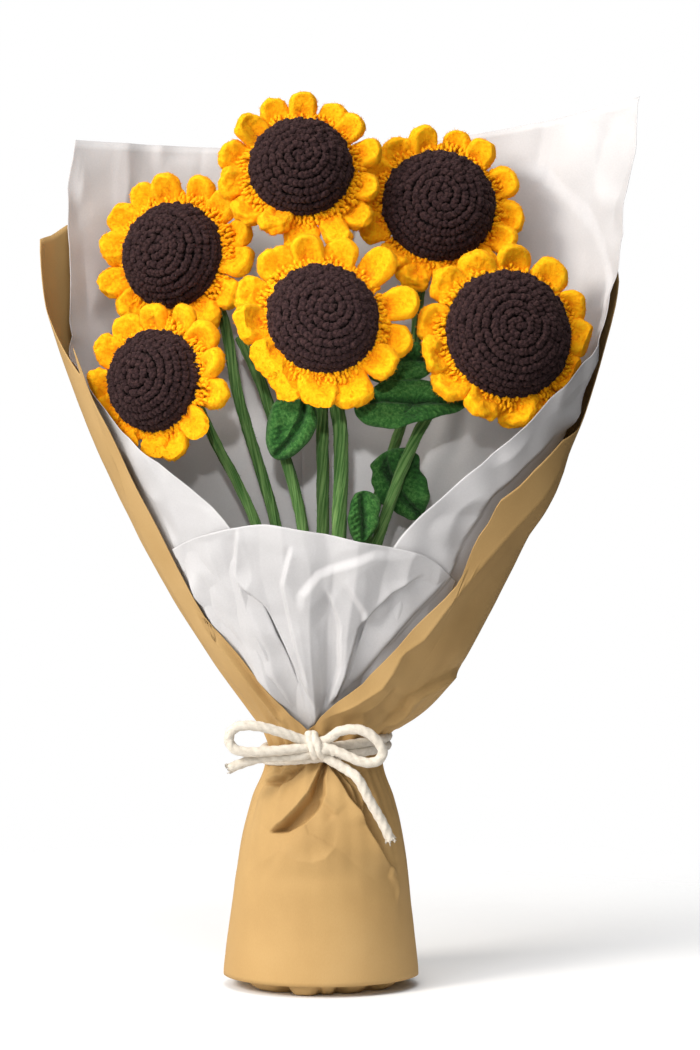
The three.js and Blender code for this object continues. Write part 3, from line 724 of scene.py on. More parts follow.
def creaseRise(flat, crease):
    distance, side, place = nearLine(flat, crease["line"])
    start, end = crease.get("ends", (0.12, 0.2))
    fade = np.clip(np.minimum(place / start, (1 - place) / end), 0, 1)
    fade = fade * fade * (3 - 2 * fade)
    (riseL, wideL), (riseR, wideR) = crease["left"], crease["right"]
    bump = np.where(side > 0, riseL * np.exp(-distance / wideL), riseR * np.exp(-distance / wideR))
    edge = np.clip(distance / crease.get("soft", 0.6), 0, 1)
    return fade * (bump * edge + (riseL + riseR) / 2 * (1 - edge))


def hollowRise(flat, hollow):
    ring = hollow["lip"] + hollow["low"][1:]
    inside = np.zeros(flat.shape[:-1], bool)
    for (x0, z0), (x1, z1) in zip(ring, ring[1:] + ring[:1]):
        crosses = (z0 > flat[..., 1]) != (z1 > flat[..., 1])
        at = x0 + (flat[..., 1] - z0) / (z1 - z0 if z1 != z0 else 1e-9) * (x1 - x0)
        inside ^= crosses & (flat[..., 0] < at)
    lip, side, place = nearLine(flat, hollow["lip"])
    low = nearLine(flat, hollow["low"])[0]
    opening = np.clip(np.minimum(place, 1 - place) / 0.15, 0, 1)
    shelf = hollow["shelf"] * np.exp(-lip / hollow["reach"]) * opening
    sunk = -hollow["depth"] * np.clip(low / 2.0, 0, 1) ** 0.7
    step = np.clip(lip / 0.9, 0, 1)
    return np.where(inside, sunk * step + shelf * (1 - step), np.where(side < 0, shelf, 0))


def foldRise(points, folds):
    flat = points[..., [0, 2]]
    total = np.zeros(points.shape[:-1])
    for crease in folds.get("creases", []):
        total += creaseRise(flat, crease)
    for hollow in folds.get("hollows", []):
        total += hollowRise(flat, hollow)
    for x, z, wide, tall, rise in folds.get("swells", []):
        total += rise * np.exp(-((flat[..., 0] - x) / wide) ** 2 - ((flat[..., 1] - z) / tall) ** 2)
    behind = np.zeros_like(total)
    for crease in folds.get("behind", []):
        behind += creaseRise(flat, crease)
    return total * np.clip(-points[..., 1] / 6, 0, 1) + behind * np.clip(points[..., 1] / 6, 0, 1)


kraftSheet = {
    "thickness": 0.35, "footThickness": 0.5, "offset": 0.8, "pleats": 1.5, "pleatReach": 22,
    "cuts": {  # flat, before rolling, in metres
        "wrap": dict(size=(0.60, 0.31), area=0.093, held="gathered", holder="tie_band_rope"),
        "skirt": dict(size=(0.29, 0.12), area=None, held="gathered", holder="tie_band_rope"),
        "foot": dict(size=(0.29, 0.028), area=0.006, held="folded", holder="kraft_skirt"),
    },
    "wrapColumns": (104, 76, 116), "wrapRows": 104,
    "skirtColumns": (62, 244), "skirtRows": (24, 94), "skirtSplit": 56,
    # the folded foot: flaps that turn under late (centre, width, share) and rows (height, inset, loose)
    "footFlaps": [(-35, 10, 0.6), (-10, 9, 1.0), (4, 5, 0.6), (22, 8, 0.45), (41, 5, 0.6)], "footInner": 46,
    "footRows": [(7.2, 2.4, 0), (5.6, 2.6, 2.6), (3.8, 3.0, 5.0), (2.0, 3.9, 7.0), (0.7, 5.2, 8.5),
                 (0.15, 7.4, 9.0), (0.1, 15.0, 4.0), (0.3, 24.0, 0.0)],
    # the open edge as seen square on, bottom to top, and behind as (angle, rise above the tie)
    "leftEdge": [(-6, 131), (-12, 136), (-20, 143), (-30, 153.5), (-41, 168), (-53.5, 182), (-59.5, 190),
                 (-71, 214), (-79.5, 231.5), (-88.5, 246.5), (-96, 264), (-104, 281), (-111, 294),
                 (-118.5, 306.5), (-122.5, 321.5)],
    "rightEdge": [(-3, 133), (1.5, 140), (9, 148), (20, 156.5), (29, 166.5), (39, 178), (49, 189), (59, 199),
                  (65.5, 206.5), (68, 211.5), (75, 227.5), (81.5, 236.5), (86.5, 246.5), (96.5, 254),
                  (104, 261.5), (111.5, 268), (119, 275), (128.5, 281)],
    "backEdge": [(3, 215), (9, 231), (25, 258), (45, 285), (78, 299), (110, 290), (140, 268), (158, 255),
                 (166, 253), (174, 230), (184, 212)],
    "skirt": {
        "hollows": [
            dict(lip=[(2.0, 118), (-2.5, 107), (-6, 99), (-12, 92), (-18.5, 85.5), (-25.5, 80)],
                 low=[(-25.5, 80), (-16, 80.5), (-8, 85), (-0.5, 92.5), (2.6, 99), (2.2, 107), (4.4, 116)],
                 depth=6.5, shelf=3.0, reach=6),
            dict(lip=[(-9, 113.5), (-16.5, 110), (-29, 102.5)],
                 low=[(-29, 102.5), (-20, 102.5), (-15, 106), (-7, 112.5)],
                 depth=3.6, shelf=2.0, reach=4),
        ],
        "creases": [
            dict(line=[(-24.5, 79.5), (-19, 72.5), (-11, 67.5), (-4, 66.5), (2, 68.5), (7, 74), (9.5, 86)],
                 left=(3.6, 7), right=(3.6, 24), soft=0.7, ends=(0.25, 0.3)),
            dict(line=[(-2.5, 99), (2, 94), (8, 88)], left=(1.3, 4), right=(-1.1, 4), soft=1.2),
            dict(line=[(3, 116), (8.5, 106.5), (14, 96.5), (18.5, 91), (24, 80), (31.5, 66.5), (38, 57)],
                 left=(-4.6, 5), right=(3.4, 8), soft=0.8, ends=(0.05, 0.3)),
            dict(line=[(7, 115), (15, 103), (19, 94), (23, 84)], left=(-2.2, 3), right=(2.0, 4), soft=0.6),
            dict(line=[(18, 112), (22, 98), (23.5, 84)], left=(-3.4, 10), right=(1.8, 6), soft=1.0),
            dict(line=[(-4, 118), (-13, 113), (-20, 110.5), (-27, 104)], left=(-0.6, 3), right=(0.9, 4)),
            dict(line=[(-31, 101), (-31.5, 80), (-31, 60), (-30, 40)], left=(0.7, 9), right=(-0.7, 8),
                 soft=2.5),
            dict(line=[(10.5, 96), (11, 80), (10, 58)], left=(0.8, 9), right=(0.8, 9), soft=3.5,
                 ends=(0.4, 0.4)),
            dict(line=[(-7, 117), (-12, 104), (-20, 92)], left=(0.5, 6), right=(-0.4, 6), soft=2.0),
            dict(line=[(34, 65), (33, 58), (37, 52), (36, 45)], left=(0.9, 3), right=(-0.9, 3), soft=0.8),
            dict(line=[(24, 112), (29, 96), (33, 78), (36, 52), (37, 30)], left=(1.4, 4), right=(1.4, 16),
                 soft=2.0),
        ],
        "behind": [  # gathers
            dict(line=[(10, 119), (16, 90), (24, 50)], left=(1.4, 6), right=(0.2, 6), soft=0.8),
            dict(line=[(-6, 119), (-13, 84), (-17, 44)], left=(-1.2, 6), right=(-1.2, 6), soft=1.5),
            dict(line=[(-15, 118), (-26, 88), (-32, 64)], left=(1.3, 6), right=(1.3, 6), soft=1.5),
            dict(line=[(2, 119), (3, 96), (1, 74)], left=(1.2, 5), right=(1.2, 5), soft=1.2),
        ],
        "swells": [(-7, 78, 9, 7, 3.0), (-4, 59, 16, 5, -1.0), (7, 101, 5, 8, 1.1), (-17, 96, 8, 6, 0.9),
                   (28, 88, 4, 12, 0.8), (-30, 30, 14, 20, 0.5), (20, 26, 16, 18, 0.5)],
    },
    "wrap": {
        "creases": [
            # the turned strip along the right flap's edge
            dict(line=[(-2, 135), (17, 147), (29, 155), (34, 162), (39, 172), (49, 179), (66, 202), (89, 229),
                       (104, 246), (116, 261), (124, 276)],
                 left=(6.0, 10), right=(6.0, 10), soft=0.8, ends=(0.1, 0.2)),
            dict(line=[(31, 134), (41, 140), (44, 146.5), (61, 155), (75, 163)], left=(-2.2, 8),
                 right=(2.6, 7), soft=0.9),
            dict(line=[(60, 172), (80, 196), (96, 216), (112, 240)], left=(-2.2, 12), right=(-2.2, 12),
                 soft=8, ends=(0.3, 0.3)),
            dict(line=[(20, 140), (30, 146), (37, 155)], left=(0.8, 5), right=(-1.4, 5), soft=1.5),
            # the outer layer's edge at the left
            dict(line=[(-62, 190), (-48.5, 174), (-38.5, 160), (-30, 148), (-19, 135)],
                 left=(-2.4, 3), right=(1.6, 8), soft=0.5, ends=(0.2, 0.1)),
            dict(line=[(-103, 268), (-96, 244), (-84, 216), (-66, 186), (-50, 160)], left=(0.9, 14),
                 right=(-0.9, 12)),
            dict(line=[(-136, 372), (-126, 340), (-117, 305), (-104, 270)], left=(0.5, 10), right=(-0.8, 14)),
        ],
        "behind": [  # the overlap's edge, then gathers
            dict(line=[(8, 124), (22, 180), (40, 260), (62, 345), (80, 405)], left=(0.0, 12),
                 right=(1.7, 14), soft=0.5, ends=(0.1, 0.05)),
            dict(line=[(-4, 124), (-14, 170), (-30, 250)], left=(1.9, 9), right=(1.9, 9), soft=1.5),
            dict(line=[(-12, 126), (-40, 190), (-80, 270)], left=(2.1, 11), right=(2.1, 11), soft=1.5),
            dict(line=[(17, 126), (50, 180), (98, 250)], left=(2.0, 10), right=(2.0, 10), soft=1.5),
            dict(line=[(2, 124), (0, 190), (-6, 310)], left=(-1.6, 12), right=(-1.6, 12), soft=2),
            dict(line=[(-60, 300), (-20, 318), (18, 300)], left=(0.9, 14), right=(0.9, 8), soft=1.5,
                 ends=(0.3, 0.3)),
        ],
    },
}


def edgeTable(points):  # (angle, rise above the tie) of points seen square on
    return [(frontAngle(x, z), z - roll["waistHeight"]) for x, z in points]


def kraftNeckline():
    right = [(a - 360, rise) for a, rise in edgeTable(kraftSheet["rightEdge"])]
    left = [(360 - a if a > 360 else a, rise) for a, rise in edgeTable(kraftSheet["leftEdge"])]
    table = sorted(right) + kraftSheet["backEdge"] + sorted(left)
    clean = [table[0]]
    for angle, rise in table[1:]:
        if angle > clean[-1][0] + 0.4:
            clean.append((angle, rise))
    return clean


def pleats(angle, z):  # gathers that die out away from the tie
    a = np.radians(angle)
    wave = 0.55 * np.cos(17 * a + 0.6 * np.sin(3 * a)) + 0.45 * np.cos(29 * a + 1.3 + 0.8 * np.sin(2 * a))
    return kraftSheet["pleats"] * wave * np.exp(-np.abs(z - roll["waistHeight"]) / kraftSheet["pleatReach"])


def foldedGrid(angle, z, folds, seed, wrinkle):
    base = rollPoint(angle, z, kraftSheet["offset"])
    normal = gridNormals(base)
    d = pleats(angle, z) + foldRise(base, folds)
    ridge = 1 - np.abs(grain(base * (1, 1, 0.5), 26, seed))
    wrinkle = wrinkle * (1 + 1.6 * np.clip(base[..., 1] / 30, 0, 1))  # looser behind
    d = d + wrinkle * (1.6 * ridge - 1.1) + 0.25 * wrinkle * grain(base, 9, seed + 1)
    return base + normal * d[..., None]


def stepsThrough(stops, counts):  # even steps in each stretch between two stops
    spans = list(zip(stops, stops[1:], counts))
    return np.concatenate([np.linspace(a, b, n, endpoint=(k == len(spans) - 1))
                           for k, (a, b, n) in enumerate(spans)])


def makeKraft():
    waist = roll["waistHeight"]
    neck = kraftNeckline()
    start, rise = neck[0]
    columns = stepsThrough((start, 0, 180, start + 360), kraftSheet["wrapColumns"])
    angle, share = np.meshgrid(columns, np.linspace(0, 1, kraftSheet["wrapRows"]), indexing="ij")
    top = waist + np.interp(angle, *np.array(neck + [(start + 360, rise)]).T)
    z = waist - 1 + (top - waist + 1) * share ** 1.25
    grid = foldedGrid(angle, z, kraftSheet["wrap"], seed=3, wrinkle=0.35)
    grid[-1] = grid[0]
    wrap = sheetPiece("kraft_wrap", grid[:-1], kraftSheet["thickness"], ring=True)
    columns = np.concatenate([np.linspace(a, a + 180, n, endpoint=False)
                              for a, n in zip((0, 180), kraftSheet["skirtColumns"])])
    low = roll["footRise"] - kraftSheet["offset"]
    rows = stepsThrough((low, kraftSheet["skirtSplit"], waist), kraftSheet["skirtRows"])
    angle, z = np.meshgrid(columns, rows, indexing="ij")
    grid = foldedGrid(angle, z, kraftSheet["skirt"], seed=8, wrinkle=0.25)
    skirt = sheetPiece("kraft_skirt", grid, kraftSheet["thickness"], ring=True)
    for piece, key, node in ((wrap, "wrap", "kraft_sheet"), (skirt, "skirt", "kraft_sheet"),
                             (makeFoot(), "foot", "foot_tuck")):
        finishPiece(piece, papers["kraft"], [node])


def makeFoot():  # the skirt's lower edge, folded in and creased flat under the bunch
    a = np.linspace(0, 360, 360, endpoint=False)
    x = halfAt("right", np.array(roll["footRise"])) * np.cos(np.radians(a))
    inFront = np.sin(np.radians(a)) < 0
    flaps = np.zeros_like(a)  # stretches of paper that turn under later than the rest
    for centre, wide, amount in kraftSheet["footFlaps"]:
        flaps = np.maximum(flaps, amount * np.exp(-((x - centre) / wide) ** 4) * inFront)
    behind = 0.35 + 0.35 * grain(rollPoint(a, np.full_like(a, 5.0)), 14, 6)
    flaps = np.clip(np.where(inFront, flaps, behind), 0, 1)
    outline = rollPoint(a, np.full_like(a, roll["footRise"]))
    rows = []
    for z, inset, loose in kraftSheet["footRows"]:
        shrink = 1 - (inset + loose * (1 - flaps)) / kraftSheet["footInner"]
        row = np.stack([outline[:, 0] * shrink, outline[:, 1] * shrink, np.full(len(a), z)], -1)
        row[:, 2] += (0.5 * grain(row, 9, 5) + 2.0 * (1 - flaps) * (z < 4)) * (z > 0.6)
        rows.append(row)
    return sheetPiece("kraft_foot", np.stack(rows, 1)[:, ::-1], kraftSheet["footThickness"], ring=True)


makeKraft()
print("kraft paper ready")

# tissue sheets inside the kraft

tissueSheet = {
    "thickness": 0.2, "layer": 2.0, "columns": 165, "rows": 112, "crumple": 2.3,
    "folds": 4.2, "bibColumns": 190, "bibRows": 120, "bibCrumple": 1.2, "bibRise": 6,
    "cuts": {  # flat, before rolling, in metres, and their area
        "tissue_sheet_left": ((0.30, 0.31), 0.048), "tissue_sheet_right": ((0.34, 0.34), 0.056),
        "tissue_bib": ((0.16, 0.12), 0.0135),
    },
    # upright edges as (share of the way up, angle, rise above the tie), and the front sheet's top edge
    "leftFront": [(0, 262, 8), (0.25, 246, 80), (0.42, 240, 114), (0.55, 222, 142), (0.64, 206, 162),
                  (0.74, 190, 188), (0.82, 167, 208), (1, 146, 303)],
    "leftBack": [(0, 84, 8), (0.9, 84, 268), (1, 84, 296)],
    "rightFront": [(0, 278, 8), (0.2, 286, 64), (0.34, 292, 104), (0.46, 308, 136), (0.58, 327, 168),
                   (0.66, 339, 185), (0.74, 354, 208), (0.86, 368, 262), (1, 378, 325)],
    "rightBack": [(0, 458, 8), (1, 453, 292)],
    "bibTop": [(211, 100), (232, 109), (252, 114), (263, 112), (291, 102.5), (302, 98), (318, 84)],
    "creases": [
        dict(line=[(-2, 141), (-17.5, 174), (-27.5, 194), (-44.5, 210)], left=(-1.6, 5), right=(2.2, 6),
             soft=0.7),
        dict(line=[(-9.5, 188), (-9.5, 200.5), (-1, 210.5), (25.5, 220.5), (42, 219)], left=(-1.0, 7),
             right=(1.6, 8), soft=2.0, ends=(0.3, 0.3)),
        dict(line=[(-41, 234), (-42.5, 210.5), (-34.5, 184), (-22, 158)], left=(2.0, 6), right=(-1.6, 7),
             soft=0.8),
        dict(line=[(5, 140), (12.5, 160.5), (19, 184), (35.5, 200.5), (52.5, 210.5)], left=(2.0, 6),
             right=(-1.8, 6), soft=0.7),
        dict(line=[(1, 138), (9, 163), (9, 186), (2, 206)], left=(-1.8, 5), right=(2.0, 5), soft=0.7),
        dict(line=[(-14, 226), (-19, 205), (-14, 182), (-5, 150)], left=(1.8, 5), right=(-1.6, 6), soft=0.8),
        dict(line=[(10, 209), (21, 192), (25, 170)], left=(1.4, 6), right=(-1.2, 7), soft=1.4,
             ends=(0.3, 0.3)),
    ],
}


def facets(across, seed, count):  # a folded line: straight stretches between uneven creases
    rng = np.random.default_rng(seed)
    spots = np.cumsum(np.concatenate([[0], rng.uniform(0.5, 1.5, count)]))
    spots = spots / spots[-1] * 1.3 - 0.15
    heights = rng.uniform(0.45, 1.0, count + 1) * np.where(np.arange(count + 1) % 2, 1, -1)
    return np.interp(across, spots, heights)


def crumple(base, across, rise, seed, amount):  # creases that radiate from the tie, and soft dents
    drift = grain(base, 60, seed) * 0.03 + grain(base, 25, seed + 1) * 0.012
    near = np.exp(-rise / 110)
    d = facets(across + drift, seed + 2, 17) * (0.35 + 0.9 * near)
    d = d + facets(across + drift * 1.5, seed + 3, 31) * 0.35 * near
    streak = np.stack([across * 150, rise * 0.35, rise * 0], -1)
    d = d + 1.1 * (1 - np.abs(grain(streak, 24, seed + 4))) ** 2 - 0.5
    d = d + 0.6 * (1 - np.abs(grain(streak * (1, 1.4, 1), 11, seed + 5))) ** 2
    d = d + 0.8 * grain(base, 38, seed + 6)
    d = d + 0.9 * np.abs(grain(base, 17, seed + 7)) - 1.1 * np.abs(grain(base * (1, 1, 0.6), 42, seed + 8))
    return amount * d


def underKraft(d, angle, rise, gap):  # holds a sheet's folds back where the kraft lies over it
    neck = np.array(kraftNeckline())
    cover = np.interp(np.mod(angle - neck[0, 0], 360) + neck[0, 0], np.append(neck[:, 0], neck[0, 0] + 360),
                      np.append(neck[:, 1], neck[0, 1]))
    room = gap + 1.0 * np.clip(rise - cover, 0, 40)
    return -0.5 * np.log(np.exp(-d / 0.5) + np.exp(-room / 0.5))


def sheetBetween(first, second, seed, offset):
    s, t = np.meshgrid(np.linspace(0, 1, tissueSheet["columns"]), np.linspace(0, 1, tissueSheet["rows"]),
                       indexing="ij")

    def column(edge, k):
        return along([(point[0], point[k]) for point in edge], t)

    angle = column(first, 1) + (column(second, 1) - column(first, 1)) * s
    z = roll["waistHeight"] + column(first, 2) + (column(second, 2) - column(first, 2)) * s
    base = rollPoint(angle, z, offset)
    rise = z - roll["waistHeight"]
    d = crumple(base, angle / 180, rise, seed, tissueSheet["crumple"]) * np.clip(rise / 40, 0.3, 1)
    d = underKraft(d, angle, rise, 0.4)
    return base + gridNormals(base) * d[..., None]


def frontGrid():  # the front sheet: pleated at the tie and fanned towards its top edge
    top, low = tissueSheet["bibTop"], tissueSheet["bibRise"]
    s, t = np.meshgrid(np.linspace(0, 1, tissueSheet["bibColumns"]),
                       np.linspace(0, 1, tissueSheet["bibRows"]), indexing="ij")
    angle = top[0][0] + (top[-1][0] - top[0][0]) * s
    rise = low + (along(top, angle) - low) * t
    base = rollPoint(angle, roll["waistHeight"] + rise, -tissueSheet["layer"])
    pleat = tissueSheet["folds"] * facets(s + 0.02 * grain(base, 30, 3) * t, 31, 11)
    d = pleat * (0.9 - 0.62 * t) * np.clip(rise / 25, 0.35, 1)
    d = d + crumple(base, s * 0.6, rise, 12, tissueSheet["bibCrumple"]) * np.clip(rise / 30, 0.2, 1)
    d = underKraft(d + foldRise(base, tissueSheet), angle, rise, -0.5)
    return base + gridNormals(base) * d[..., None]


def makeTissue():
    look = tissueSheet
    left = sheetBetween(look["leftBack"], look["leftFront"], 2, -2 * look["layer"])
    right = sheetBetween(look["rightFront"], look["rightBack"], 5, -2 * look["layer"] - 1.6)
    for name, grid, node in (("tissue_left", left, "tissue_sheet_left"),
                             ("tissue_right", right, "tissue_sheet_right"),
                             ("tissue_front", frontGrid(), "tissue_bib")):
        piece = sheetPiece(name, grid, look["thickness"])
        finishPiece(piece, papers["tissue"], [node])


makeTissue()
print("tissue ready")

# flowers

heads = {
    "radius": 45.0, "cluster": 356.0, "discShare": 0.635, "discHeight": 17.0, "petalThickness": 7.5,
    "paperGap": 8, "freeHeight": 400,
    # place in head radii from the cluster's middle, angles in degrees, lift and shift from the plain solid
    "flowers": {
        "lower_left": dict(place=(-1.71, -0.42, -1.14), scale=0.88, turn=-32, nod=8, petals=13, roll=4,
                           lift=2, shift=(0, -1.5), disc=1.0, seed=11),
        "upper_left": dict(place=(-1.64, 0.4, 0.23), scale=0.95, turn=-25, nod=4, petals=14, roll=9, lift=6,
                           shift=(3.5, -2), disc=0.98, seed=12),
        "top": dict(place=(-0.23, 0.03, 1.18), scale=0.9, turn=0, nod=16, petals=14, roll=0, lift=7,
                    shift=(0.5, -3), stretch=(-70, 7), disc=1.0, seed=13),
        "upper_right": dict(place=(1.29, 0.55, 0.77), scale=0.95, turn=6, nod=12, petals=14, roll=7, lift=5,
                            shift=(0, -2.5), disc=1.05, seed=14),
        "centre": dict(place=(-0.01, -0.72, -0.48), scale=1.0, turn=10, nod=14, petals=13, roll=2, lift=7,
                       shift=(0, -2), stretch=(32, 8), disc=0.97, seed=15),
        "right": dict(place=(1.94, -0.25, -0.65), scale=1.02, turn=16, nod=14, petals=13, roll=11, lift=1,
                      shift=(3, -1.5), disc=1.1, seed=16),
    },
}


def headFrame(place, turn, nod):  # middle and the side, top and facing directions as rows
    t, n = math.radians(turn), math.radians(nod)
    facing = np.array([math.sin(t) * math.cos(n), -math.cos(t) * math.cos(n), math.sin(n)])
    side = np.cross((0, 0, 1), facing)
    side /= np.linalg.norm(side)
    middle = np.array(place) * heads["radius"] + (0, 0, heads["cluster"])
    return middle, np.stack([side, np.cross(facing, side), facing])


discLook = {
    "pitch": 4.2, "groove": 1.3, "swell": 3.2, "around": 96, "rings": 22, "turnSteps": 110,
    "stitch": {"Spacing": 0.00255, "Length": 0.0046, "Width": 0.0029, "Height": 0.0032, "Lean": 0.55,
               "Split": 0.18, "Wander": 0.0005},
    "fuzz": {"Density": 450000.0, "Length": 0.0011, "Thickness": 0.0002, "Tilt": 1.1},
}


def stitchesOn(name, route, ups, stitch, seed, yarn):
    return growWith(lineMesh(name, route, ups), crochetRows, stitch | {"Seed": seed, "Material": yarns[yarn]})


def domePoint(radius, height, share):  # share 0 at the crown to 1 at the rim
    a = math.pi / 2 * (1 - np.asarray(share, float))
    return radius * np.cos(a) ** 0.85, height * np.sin(a)


def headOf(flower):  # the stuffed heads tip up a little more than their plain solids do
    middle, axes = headFrame(flower["place"], flower["turn"], flower["nod"] + flower["lift"])
    return middle + (flower["shift"][0], 0, flower["shift"][1]), axes


def keepInside(points, offset):  # presses points that would cross the paper back against it
    x, y, z = points.T
    half = np.stack([np.where(x > 0, halfAt("right", z), halfAt("left", z)),
                     np.where(y > 0, halfAt("back", z), halfAt("front", z))], -1)
    reach = np.linalg.norm(points[:, :2] / (half + offset), axis=1)
    scale = np.where(z < heads["freeHeight"], 1 / np.maximum(reach, 1), 1)
    return points * np.stack([scale, scale, np.ones(len(points))], -1)


def makeDisc(name, flower):
    middle, axes = headOf(flower)
    radius = heads["radius"] * flower["scale"] * heads["discShare"] * flower["disc"] - 1.0
    height = heads["discHeight"] + discLook["swell"]
    lift = heads["petalThickness"] - 0.8
    around, steps = discLook["around"], discLook["rings"]
    shares = np.linspace(1, 0.02, steps)
    r, h = domePoint(radius - discLook["groove"], height - discLook["groove"], shares)
    a = np.linspace(0, 2 * math.pi, around, endpoint=False)
    tall = np.outer(h, np.ones(around)) + lift
    rings = np.stack([np.outer(r, np.cos(a)), np.outer(r, np.sin(a)), tall], -1)
    crown = (0, 0, height - discLook["groove"] + lift)
    points = np.concatenate([[(0, 0, lift)], rings.reshape(-1, 3), [crown]])
    faces = [(0, q, p) for p, q in ringPairs(around, 1)] + bandFaces(steps, around, 1)
    faces += [(p, q, len(points) - 1) for p, q in ringPairs(around, 1 + (steps - 1) * around)]
    # the core's hollow mark of 0.5 is painted shade: it darkens the core that lies under the stitch rows
    core = makeMesh("core", middle + points @ axes, faces, {"hollow": np.full(len(points), 0.5)})
    core.data.materials.append(yarns["brown"])
    dense = np.linspace(0.0, 1.0, 400)
    rr, hh = domePoint(radius, height, dense)
    arc = np.concatenate([[0], np.cumsum(np.hypot(np.diff(rr), np.diff(hh)))])
    turns = arc[-1] / discLook["pitch"]
    travel = np.linspace(0.22 / turns, 1.0, int(turns * discLook["turnSteps"]))
    share = np.interp(travel * arc[-1], arc, dense)
    a = 2 * math.pi * turns * travel + flower["seed"]
    r, h = domePoint(radius, height, share)
    spiral = np.stack([r * np.cos(a), r * np.sin(a), h + lift], -1)
    up = np.stack([r * np.cos(a) / radius ** 2, r * np.sin(a) / radius ** 2, (h + 1) / height ** 2], -1)
    up /= np.linalg.norm(up, axis=1, keepdims=True)
    rows = stitchesOn("rows", middle + spiral @ axes, up @ axes, discLook["stitch"], flower["seed"], "brown")
    disc = joinPieces("disc", [core, rows])
    disc = addFuzz("disc_" + name, disc, discLook["fuzz"], flower["seed"], "brown")
    finishPiece(disc, None, [f"disc_cover_{name}", f"stuffing_{name}"])


petalLook = {
    "rows": 26, "columns": 56, "thickness": 8.6, "base": 0.62, "width": 1.02, "ringShare": 0.84, "pull": 26,
    "lift": 3.4, "stagger": (-0.6, 0.8),
    # rows of stitches round the disc: how far out, how high, seed and spacing
    "collars": [(0.6, 7.4, 1, 0.0019), (2.9, 6.6, 2, 0.0022), (5.0, 5.9, 3, 0.0028)],
    "stitch": {"Length": 0.0019, "Width": 0.0034, "Height": 0.0027, "Lean": 0.35, "Split": 0.12,
               "Wander": 0.0008},
    "fuzz": {"Density": 310000.0, "Length": 0.0012, "Thickness": 0.00014, "Tilt": 1.0},
}


def petalShape(rng, length, width, seed, ruffle):  # ruffle 0: a smooth cupped ear, 1: a lumpy frill
    rows, columns = petalLook["rows"], petalLook["columns"]
    lat = np.linspace(-math.pi / 2, math.pi / 2, rows)[:, None] * np.ones((1, columns))
    lon = np.linspace(0, 2 * math.pi, columns, endpoint=False)[None, :] * np.ones((rows, 1))
    up = np.sin(lon)
    tipReach = 0.46 * width
    middle = length - tipReach
    taper = 1 - 0.42 * np.maximum(0, -up) ** 1.3
    skew = 1 + rng.normal(0, 0.07) * np.cos(lon)
    outU = width / 2 * np.sign(np.cos(lon)) * np.abs(np.cos(lon)) ** 0.9 * taper * skew
    outV = np.where(up > 0, tipReach, middle) * np.sign(up) * np.abs(up) ** 0.9
    c = np.cos(lat) ** 0.6
    u, v = outU * c, middle + outV * c
    front = np.clip(np.sin(lat), 0, 1)
    thick = petalLook["thickness"] * rng.uniform(0.9, 1.08)
    z = thick / 2 * np.sin(lat)
    reach = np.sqrt((u / (width / 2)) ** 2 + (np.maximum(0, v - middle) / tipReach) ** 2)
    centre = rng.uniform(0.44, 0.54)
    dent = np.exp(-((u / (0.3 * width)) ** 2 + ((v - centre * length) / (0.2 * length)) ** 2))
    depth = rng.uniform(3.0, 4.4) * (1 - 0.55 * ruffle)
    z = z - depth * dent * front
    nearRim = np.exp(-((reach - 0.74) / 0.2) ** 2)
    z = z + rng.uniform(0.9, 1.9) * nearRim * front * np.clip(v / length * 1.4 - 0.4, 0, 1)
    normal = np.stack([u / (width / 2) ** 2, (v - middle) / np.where(up > 0, tipReach, middle) ** 2,
                       z / (thick / 2) ** 2], -1)
    normal /= np.maximum(np.linalg.norm(normal, axis=-1, keepdims=True), 1e-9)
    p = np.stack([u, v, z], -1)
    big, mid, fine = grain(p, 5.0, seed), grain(p, 2.6, seed + 3), grain(p, 1.35, seed + 5)
    d = (0.5 + 0.9 * ruffle) * big + (0.18 + 0.62 * ruffle) * mid + (0.16 + 0.36 * ruffle) * fine
    p = p + normal * d[..., None]
    bend = rng.uniform(1.0, 4.2)
    p[..., 2] += bend * np.clip(v / length - 0.3, 0, 1) ** 2 * 2
    p[..., 2] += rng.normal(0, 0.9) * u / (width / 2) * np.clip(v / length, 0, 1)
    # hollow: painted shade, deeper orange in the cup's dent, towards the disc, in the dips between lumps and
    # on the petal's back; the raised rim gets a painted highlight
    hollow = 0.34 * dent * front * (1 - 0.4 * ruffle) + 0.26 * np.clip(1 - (v / length) / 0.6, 0, 1)
    hollow = hollow + (0.1 + 0.14 * ruffle) * np.clip(-mid - 0.1, 0, 1) + 0.16 * ruffle * np.clip(-fine, 0, 1)
    hollow = hollow + 0.3 * np.clip(-np.sin(lat), 0, 1) - 0.1 * nearRim * front
    return p, hollow


